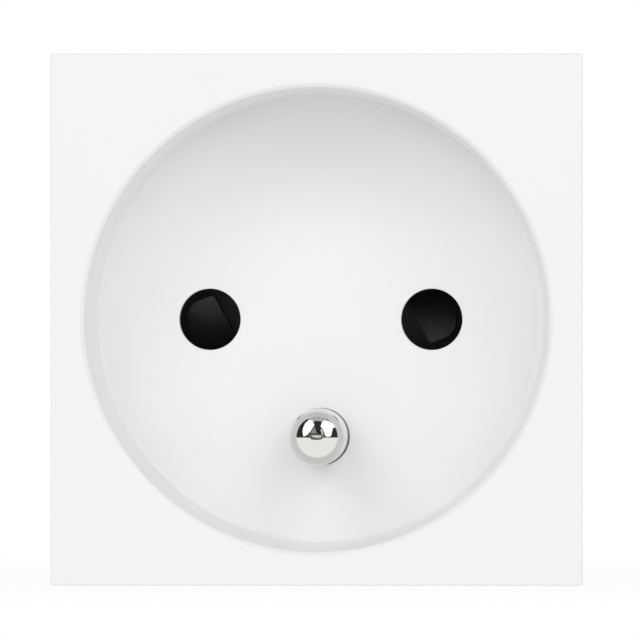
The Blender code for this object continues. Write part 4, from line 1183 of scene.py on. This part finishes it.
@dataclass
class Contacts:
    """Pole contacts, their clips and the earth bar."""

    pinch: float = 0.00245
    mouth: float = 0.0042
    base: float = 0.0034
    bow: float = 0.0004
    clip_room: float = 0.0005
    throat: float = 0.0029
    jaw_width: float = 0.0064
    clip_width: float = 0.0050

    def share(self, point: Vector) -> float:
        """1 in the jaws, falling to 0 at their base and mouth.

        Args:
            point: A place on the strip's path, as (depth, height).

        Returns:
            The share.
        """
        near_mouth = (point[0] - CONTACT_FRONT) / self.throat
        near_base = (CONTACT_BACK - point[0]) / self.throat
        if abs(point[1]) > self.mouth:
            return 0.0
        return max(0.0, min(1.0, near_mouth, near_base))

    def build_contact(self, node: str, x: float) -> None:
        """Bend one pole contact: two cupped jaws, a riser and the terminal's bar.

        Args:
            node: The solid that it stands for.
            x: Its place across.
        """
        throat = CONTACT_FRONT + self.throat
        corners = [
            (CONTACT_FRONT, -self.mouth, 0.0),
            (throat, -self.pinch, 0.0030),
            (CONTACT_BACK, -self.base, 0.0012),
            (CONTACT_BACK, self.base, 0.0012),
            (throat, self.pinch, 0.0030),
            (CONTACT_FRONT, self.mouth, 0.0008),
            (CONTACT_FRONT, BAR_Z, 0.0010),
            (BAR_BACK, BAR_Z, 0.0),
        ]
        half, end, past = 0.0004, throat + 0.0045, 0.0006
        slot = boxes(
            ((x - half, CONTACT_FRONT - past, -self.mouth - past), (x + half, end, 0)),
            ((x - half, throat - self.throat / 2, self.pinch / 2), (x + half, end, self.mouth)),
        )
        Stamping(
            node,
            corners,
            lambda point: STRIP_WIDTH - (STRIP_WIDTH - self.jaw_width) * self.share(point),
            STRIP_THICKNESS,
            BRASS,
            lambda point: self.bow * self.share(point),
            x,
        ).build(slot)

    def build_clip(self, node: str, x: float) -> None:
        """Bend the steel clip that keeps the jaws pressed together.

        Args:
            node: The solid that it stands for.
            x: Its place across.
        """
        thickness = 0.0004
        apart = STRIP_THICKNESS / 2 + CLEARANCE + thickness / 2
        pinch = self.pinch + self.clip_room + apart
        front = CONTACT_FRONT + self.throat
        back = CONTACT_BACK + apart
        reach = self.base + apart
        tip = 0.0008
        corners = [
            (front - tip, -pinch - tip, 0.0),
            (front, -pinch, 0.0010),
            (back, -reach, 0.0019),
            (back, reach, 0.0019),
            (front, pinch, 0.0010),
            (front - tip, pinch + tip, 0.0),
        ]
        Stamping(node, corners, lambda point: self.clip_width, thickness, STEEL, x=x).build()

    def build_earth_bar(self) -> None:
        """Bend the bar from the pin's rivet to the earth terminal."""
        middle = 0.0197
        corners = [(middle, EARTH_Z + 0.0036, 0.0), (middle, -BAR_Z, 0.0010), (BAR_BACK, -BAR_Z, 0.0)]
        hole = turned([(0.0018, middle - 0.0008), (0.0018, middle + 0.0006)], 48, [(0.0, EARTH_Z)])
        Stamping("earth_bar", corners, lambda point: STRIP_WIDTH, STRIP_THICKNESS, BRASS).build(hole)

    def build(self) -> None:
        """Build the contacts, clips and earth bar."""
        for name, x in (("line", -POLE_X), ("neutral", POLE_X)):
            self.build_contact(name + "_contact", x)
            self.build_clip(name + "_contact_clip", x)
        self.build_earth_bar()


@dataclass
class Terminal:
    """Two clamp springs and the release lever of one terminal."""

    name: str
    x: float
    level: int
    body: Body
    thickness: float = 0.0004
    front: float = 0.0272
    back: float = 0.0353
    loop_radius: float = 0.0013
    loop_height: float = 0.0027
    spring_width: float = 0.0035
    lever_half: float = 0.0011

    def spring_path(self) -> list[Corner]:
        """Base leg on its shelf, loop at the rear and leg up to the bar.

        Returns:
            Its corners as (depth, height, radius).
        """
        base_z = SHELF_HEIGHT + CLEARANCE + self.thickness / 2
        tip_z = BAR_INNER_Z - CLEARANCE - self.thickness
        return [
            (self.front, base_z, 0.0),
            (self.back, base_z, self.loop_radius),
            (self.back, base_z + self.loop_height, self.loop_radius),
            (self.front, tip_z, 0.0),
        ]

    def nose(self, z: float) -> float:
        """Depth of the lever's nose at a height, which slopes along the spring's leg.

        Args:
            z: The height.

        Returns:
            The depth.
        """
        _, _, loop, tip = [Vector(corner[:2]) for corner in self.spring_path()]
        along = (tip - loop).normalized()
        start = loop + Vector((along.y, -along.x)) * (self.thickness / 2 + CLEARANCE)
        return start.x + along.x * (z - start.y) / along.y

    def build_lever(self) -> None:
        """Mould the release lever and put it in place."""
        bottom, top = LEVER_Z - self.lever_half, LEVER_Z + self.lever_half
        back = MODULE_DEPTH - CLEARANCE
        half = LEVER_WIDTH / 2
        outline = [(self.nose(bottom), bottom), (back, bottom), (back, top), (self.nose(top), top)]
        bm = bmesh.new()
        drawn(bm, [Vector((-half, depth, z)) for depth, z in outline], Vector((LEVER_WIDTH, 0, 0)))
        lever = new_piece(self.name + "_lever", bm)
        reach, stop, rise = half + CLEARANCE + 0.0002, REAR_INNER - CLEARANCE, 0.0007
        shoulder = boxes(((-reach, stop - 0.0009, LEVER_Z - rise), (reach, stop, LEVER_Z + rise)))
        combine(lever, Joining.ADD, shoulder)
        reach, size = half + 0.001, 0.0005
        groove = boxes(((-reach, back - size, LEVER_Z - size), (reach, back + size, LEVER_Z + size)))
        combine(lever, Joining.CUT, groove)
        if self.level < 0:
            lever.data.transform(HALF_TURN)
        lever.data.transform(Matrix.Translation((self.x, 0, 0)))
        soften(lever, 0.00012, 3)
        install(lever, self.name + "_lever", self.body, ORANGE)

    def build(self) -> None:
        """Build both springs and the lever."""
        for side, word in ((-1, "left"), (1, "right")):
            place = self.x + side * WIRE_SPACING / 2
            across = -place if self.level < 0 else place
            Stamping(
                f"{self.name}_clamp_{word}",
                self.spring_path(),
                lambda point: self.spring_width,
                self.thickness,
                STEEL,
                x=across,
                flipped=self.level < 0,
            ).build()
        self.build_lever()


@dataclass(frozen=True)
class Panel:
    """Card of the studio that only reflections see, with corners as (azimuth, elevation) in degrees."""

    name: str
    corners: Sequence[Point]
    level: float
    distance: float = 0.7


@dataclass(frozen=True)
class Lamp:
    """Square soft light, with its place as (azimuth, elevation) in degrees and its level."""

    name: str
    azimuth: float
    elevation: float
    level: float


SOFT_LEFT = [(-55, 13), (-60, 27), (-64, 48), (-60, 61), (-32, 63), (-13, 44), (-24, 22), (-36, 8), (-49, 2)]
SOFT_RIGHT = [(30, 58), (66, 60), (82, 47), (88, 29), (69, 29), (59, 18)]
SOFT_RIGHT += [(52, 5), (39, 1), (30, 5), (23, 25), (15, 39)]
PANELS = [
    Panel("soft_box_left", SOFT_LEFT, 1.5),
    Panel("soft_box_right", SOFT_RIGHT, 1.5),
    Panel("curtain", [(-11, 37), (-25, 13), (0, 14)], 0.3),
    Panel("doorway", [(13, 28), (17, 28), (25, 3), (20, 3)], 1.0),
    Panel("stand", [(-35, 2), (-23, -17), (-5, -20), (15, -18), (27, -8), (28, 0)], 0.15, 0.050),
    Panel("stand_top", [(-20, -4), (-18, -9), (-5, -13), (12, -12), (18, -5)], 0.8, 0.045),
]
LAMPS = [
    Lamp("lamp_front", 0, 0, 2.65),
    Lamp("lamp_left", -25, 25, 2.4),
    Lamp("lamp_right", 25, 25, 2.15),
    Lamp("lamp_far_left", -54, 0, 1.0),
    Lamp("lamp_far_right", 54, 0, 1.5),
]


@dataclass
class Studio:
    """Floor, white surroundings, soft lights, reflected cards and the camera of the photograph."""

    distance: float = 1.2
    yaw: float = 1.45
    pitch: float = 0.1
    view_width: float = 0.05413
    aim: Vector = Vector((0.00031, -MODULE_DEPTH / 2, MODULE_HALF - 0.00003))
    lamp_size: float = 0.36
    lamp_distance: float = 0.75
    ambient: float = 0.44
    floor_glow: float = 0.66
    room_size: float = 1.8
    room_level: float = 0.03
    ceiling_level: float = 0.5
    floor_half: float = 3.0
    fade: Point = (0.03, 0.12)
    white_share: float = 0.95

    @staticmethod
    def away(azimuth: float, elevation: float) -> Vector:
        """Direction from the face to a place, with angles in degrees to the right and up."""
        turn, rise = math.radians(azimuth), math.radians(elevation)
        return Vector((math.sin(turn) * math.cos(rise), -math.cos(turn) * math.cos(rise), math.sin(rise)))

    def aimed(self, name: str, data: bpy.types.ID, way: Vector, distance: float) -> Object:
        """Put a lamp or the camera at a distance from the face, turned to it.

        Args:
            name: The object's name.
            data: The lamp or camera.
            way: The direction from the face to it.
            distance: How far it stands from the face.

        Returns:
            The object.
        """
        item = placed(name, data)
        item.location = self.aim + way * distance
        item.rotation_euler = (-way).to_track_quat("-Z", "Y").to_euler()
        return item

    def camera(self) -> None:
        """Stand the camera in front of the face, slightly to its right."""
        data = bpy.data.cameras.new("camera")
        data.sensor_width = 36
        data.lens = data.sensor_width * self.distance / self.view_width
        data.clip_start = 0.05
        data.clip_end = 20
        way = self.away(self.yaw, self.pitch)
        bpy.context.scene.camera = self.aimed("camera", data, way, self.distance)

    @staticmethod
    def seen(tree: NodeTree, level: float) -> NodeSocket:
        """1 for rays of camera, gloss and glass, and a level for the light that falls on things.

        Args:
            tree: The tree of the world or of a material.
            level: The level for all other rays.

        Returns:
            The socket that gives the factor.
        """
        path = add_node(tree, "LightPath").outputs
        total = path["Is Camera Ray"]
        for name in ("Is Glossy Ray", "Is Transmission Ray"):
            total = add_node(tree, "Math", {0: total, 1: path[name]}, operation="MAXIMUM").outputs[0]
        shares = {"Value": total, "To Min": level, "To Max": 1.0}
        return add_node(tree, "MapRange", shares).outputs["Result"]

    def world(self) -> None:
        """White surroundings, which light the object at a lower level."""
        world = bpy.data.worlds.new("surroundings")
        world.use_nodes = True
        tree = world.node_tree
        surroundings = {"Color": (1, 1, 1, 1), "Strength": self.seen(tree, self.ambient)}
        fill(tree, tree.nodes["Background"], surroundings)
        bpy.context.scene.world = world

    def floor(self) -> None:
        """Pale floor under the object, with its shadow near the object and plain white far away."""
        bm = bmesh.new()
        bmesh.ops.create_grid(bm, x_segments=1, y_segments=1, size=self.floor_half)
        item = new_piece("floor", bm)
        material, tree = new_material("floor_paper")
        paper = tree.nodes["Principled BSDF"]
        matt = {"Base Color": (0.86, 0.86, 0.86, 1), "Roughness": 0.8, "Specular IOR Level": 0.1}
        fill(tree, paper, matt)
        place = add_node(tree, "TexCoord").outputs["Object"]
        reach = add_node(tree, "VectorMath", {0: place}, operation="LENGTH").outputs["Value"]
        near, far = self.fade
        white = {"Value": reach, "From Min": near, "From Max": far, "To Min": self.white_share}
        fade = add_node(tree, "MapRange", white, interpolation_type="SMOOTHSTEP").outputs["Result"]
        plain = add_node(tree, "Emission", {"Strength": self.seen(tree, self.floor_glow)})
        layers = {0: fade, 1: paper.outputs["BSDF"], 2: plain.outputs["Emission"]}
        mix = add_node(tree, "MixShader", layers)
        fill(tree, tree.nodes["Material Output"], {"Surface": mix.outputs["Shader"]})
        material.cycles.emission_sampling = "NONE"
        item.data.materials.append(material)

    def hang(self, lamp: Lamp) -> None:
        """Hang a soft light that faces the well and that only matt surfaces see.

        Args:
            lamp: The light.
        """
        data = bpy.data.lights.new(lamp.name, "AREA")
        data.shape = "SQUARE"
        data.size = self.lamp_size
        data.energy = lamp.level * math.pi * self.lamp_size**2
        item = self.aimed(lamp.name, data, self.away(lamp.azimuth, lamp.elevation), self.lamp_distance)
        item.visible_camera = False
        item.visible_glossy = False

    @staticmethod
    def reflected(name: str, bm: BMesh, level: float) -> None:
        """Make a glowing card that only reflections see.

        Args:
            name: The card's name.
            bm: Its faces, in space.
            level: Its brightness.
        """
        item = new_piece(name, bm)
        material, tree = new_material(name)
        tree.nodes.remove(tree.nodes["Principled BSDF"])
        plain = add_node(tree, "Emission", {"Strength": level})
        fill(tree, tree.nodes["Material Output"], {"Surface": plain.outputs["Emission"]})
        item.data.materials.append(material)
        item.visible_camera = False
        item.visible_diffuse = False
        item.visible_shadow = False
        item.visible_transmission = False

    def panel(self, card: Panel) -> None:
        """Hang a flat card square to its middle direction.

        Args:
            card: The card.
        """
        ways = [self.away(*corner) for corner in card.corners]
        middle = sum(ways, Vector()).normalized()
        bm = bmesh.new()
        corners = [self.aim + way * (card.distance / way.dot(middle)) for way in ways]
        bm.faces.new([bm.verts.new(corner) for corner in corners])
        self.reflected(card.name, bm, card.level)

    def dark_room(self) -> None:
        """Stand dim walls and a grey ceiling round the front half of the studio."""
        half = self.room_size
        walls = bmesh.new()
        bends = [(-half, 0), (-half, -half), (half, -half), (half, 0)]
        for start, end in zip(bends, bends[1:]):
            corners = [(*start, 0), (*end, 0), (*end, half * 2), (*start, half * 2)]
            walls.faces.new([walls.verts.new(corner) for corner in corners])
        self.reflected("room_walls", walls, self.room_level)
        ceiling = bmesh.new()
        matrix = Matrix.Translation((0, -half / 2, half * 2))
        bmesh.ops.create_grid(ceiling, x_segments=1, y_segments=1, size=half, matrix=matrix)
        self.reflected("room_ceiling", ceiling, self.ceiling_level)

    def build(self) -> None:
        """Set up the studio."""
        self.camera()
        self.world()
        self.floor()
        for lamp in LAMPS:
            self.hang(lamp)
        for card in PANELS:
            self.panel(card)
        self.dark_room()
        bpy.context.scene.view_settings.view_transform = "Standard"


def main() -> None:
    logging.basicConfig(level=logging.INFO, format="%(name)s: %(message)s", stream=sys.stdout)
    FrontCover().build()
    RearHousing().build()
    size = {"shank": 0.0022, "head": 0.0042, "height": 0.0016, "tip": 0.0100, "seat": 0.0371}
    names = ["lower_left", "upper_left", "lower_right", "upper_right"]
    for name, (x, z) in zip(names, SCREW_PLACES):
        Screw("cover_screw_" + name, x=x, z=z, **size).build()
    EarthPin().build()
    Shutter().build()
    Contacts().build()
    bodies = {"line": Body.LINE, "neutral": Body.NEUTRAL, "earth": Body.EARTH}
    for name, x, level in terminals():
        Terminal(name, x, level, bodies[name]).build()
    Studio().build()


if __name__ == "__main__":
    main()
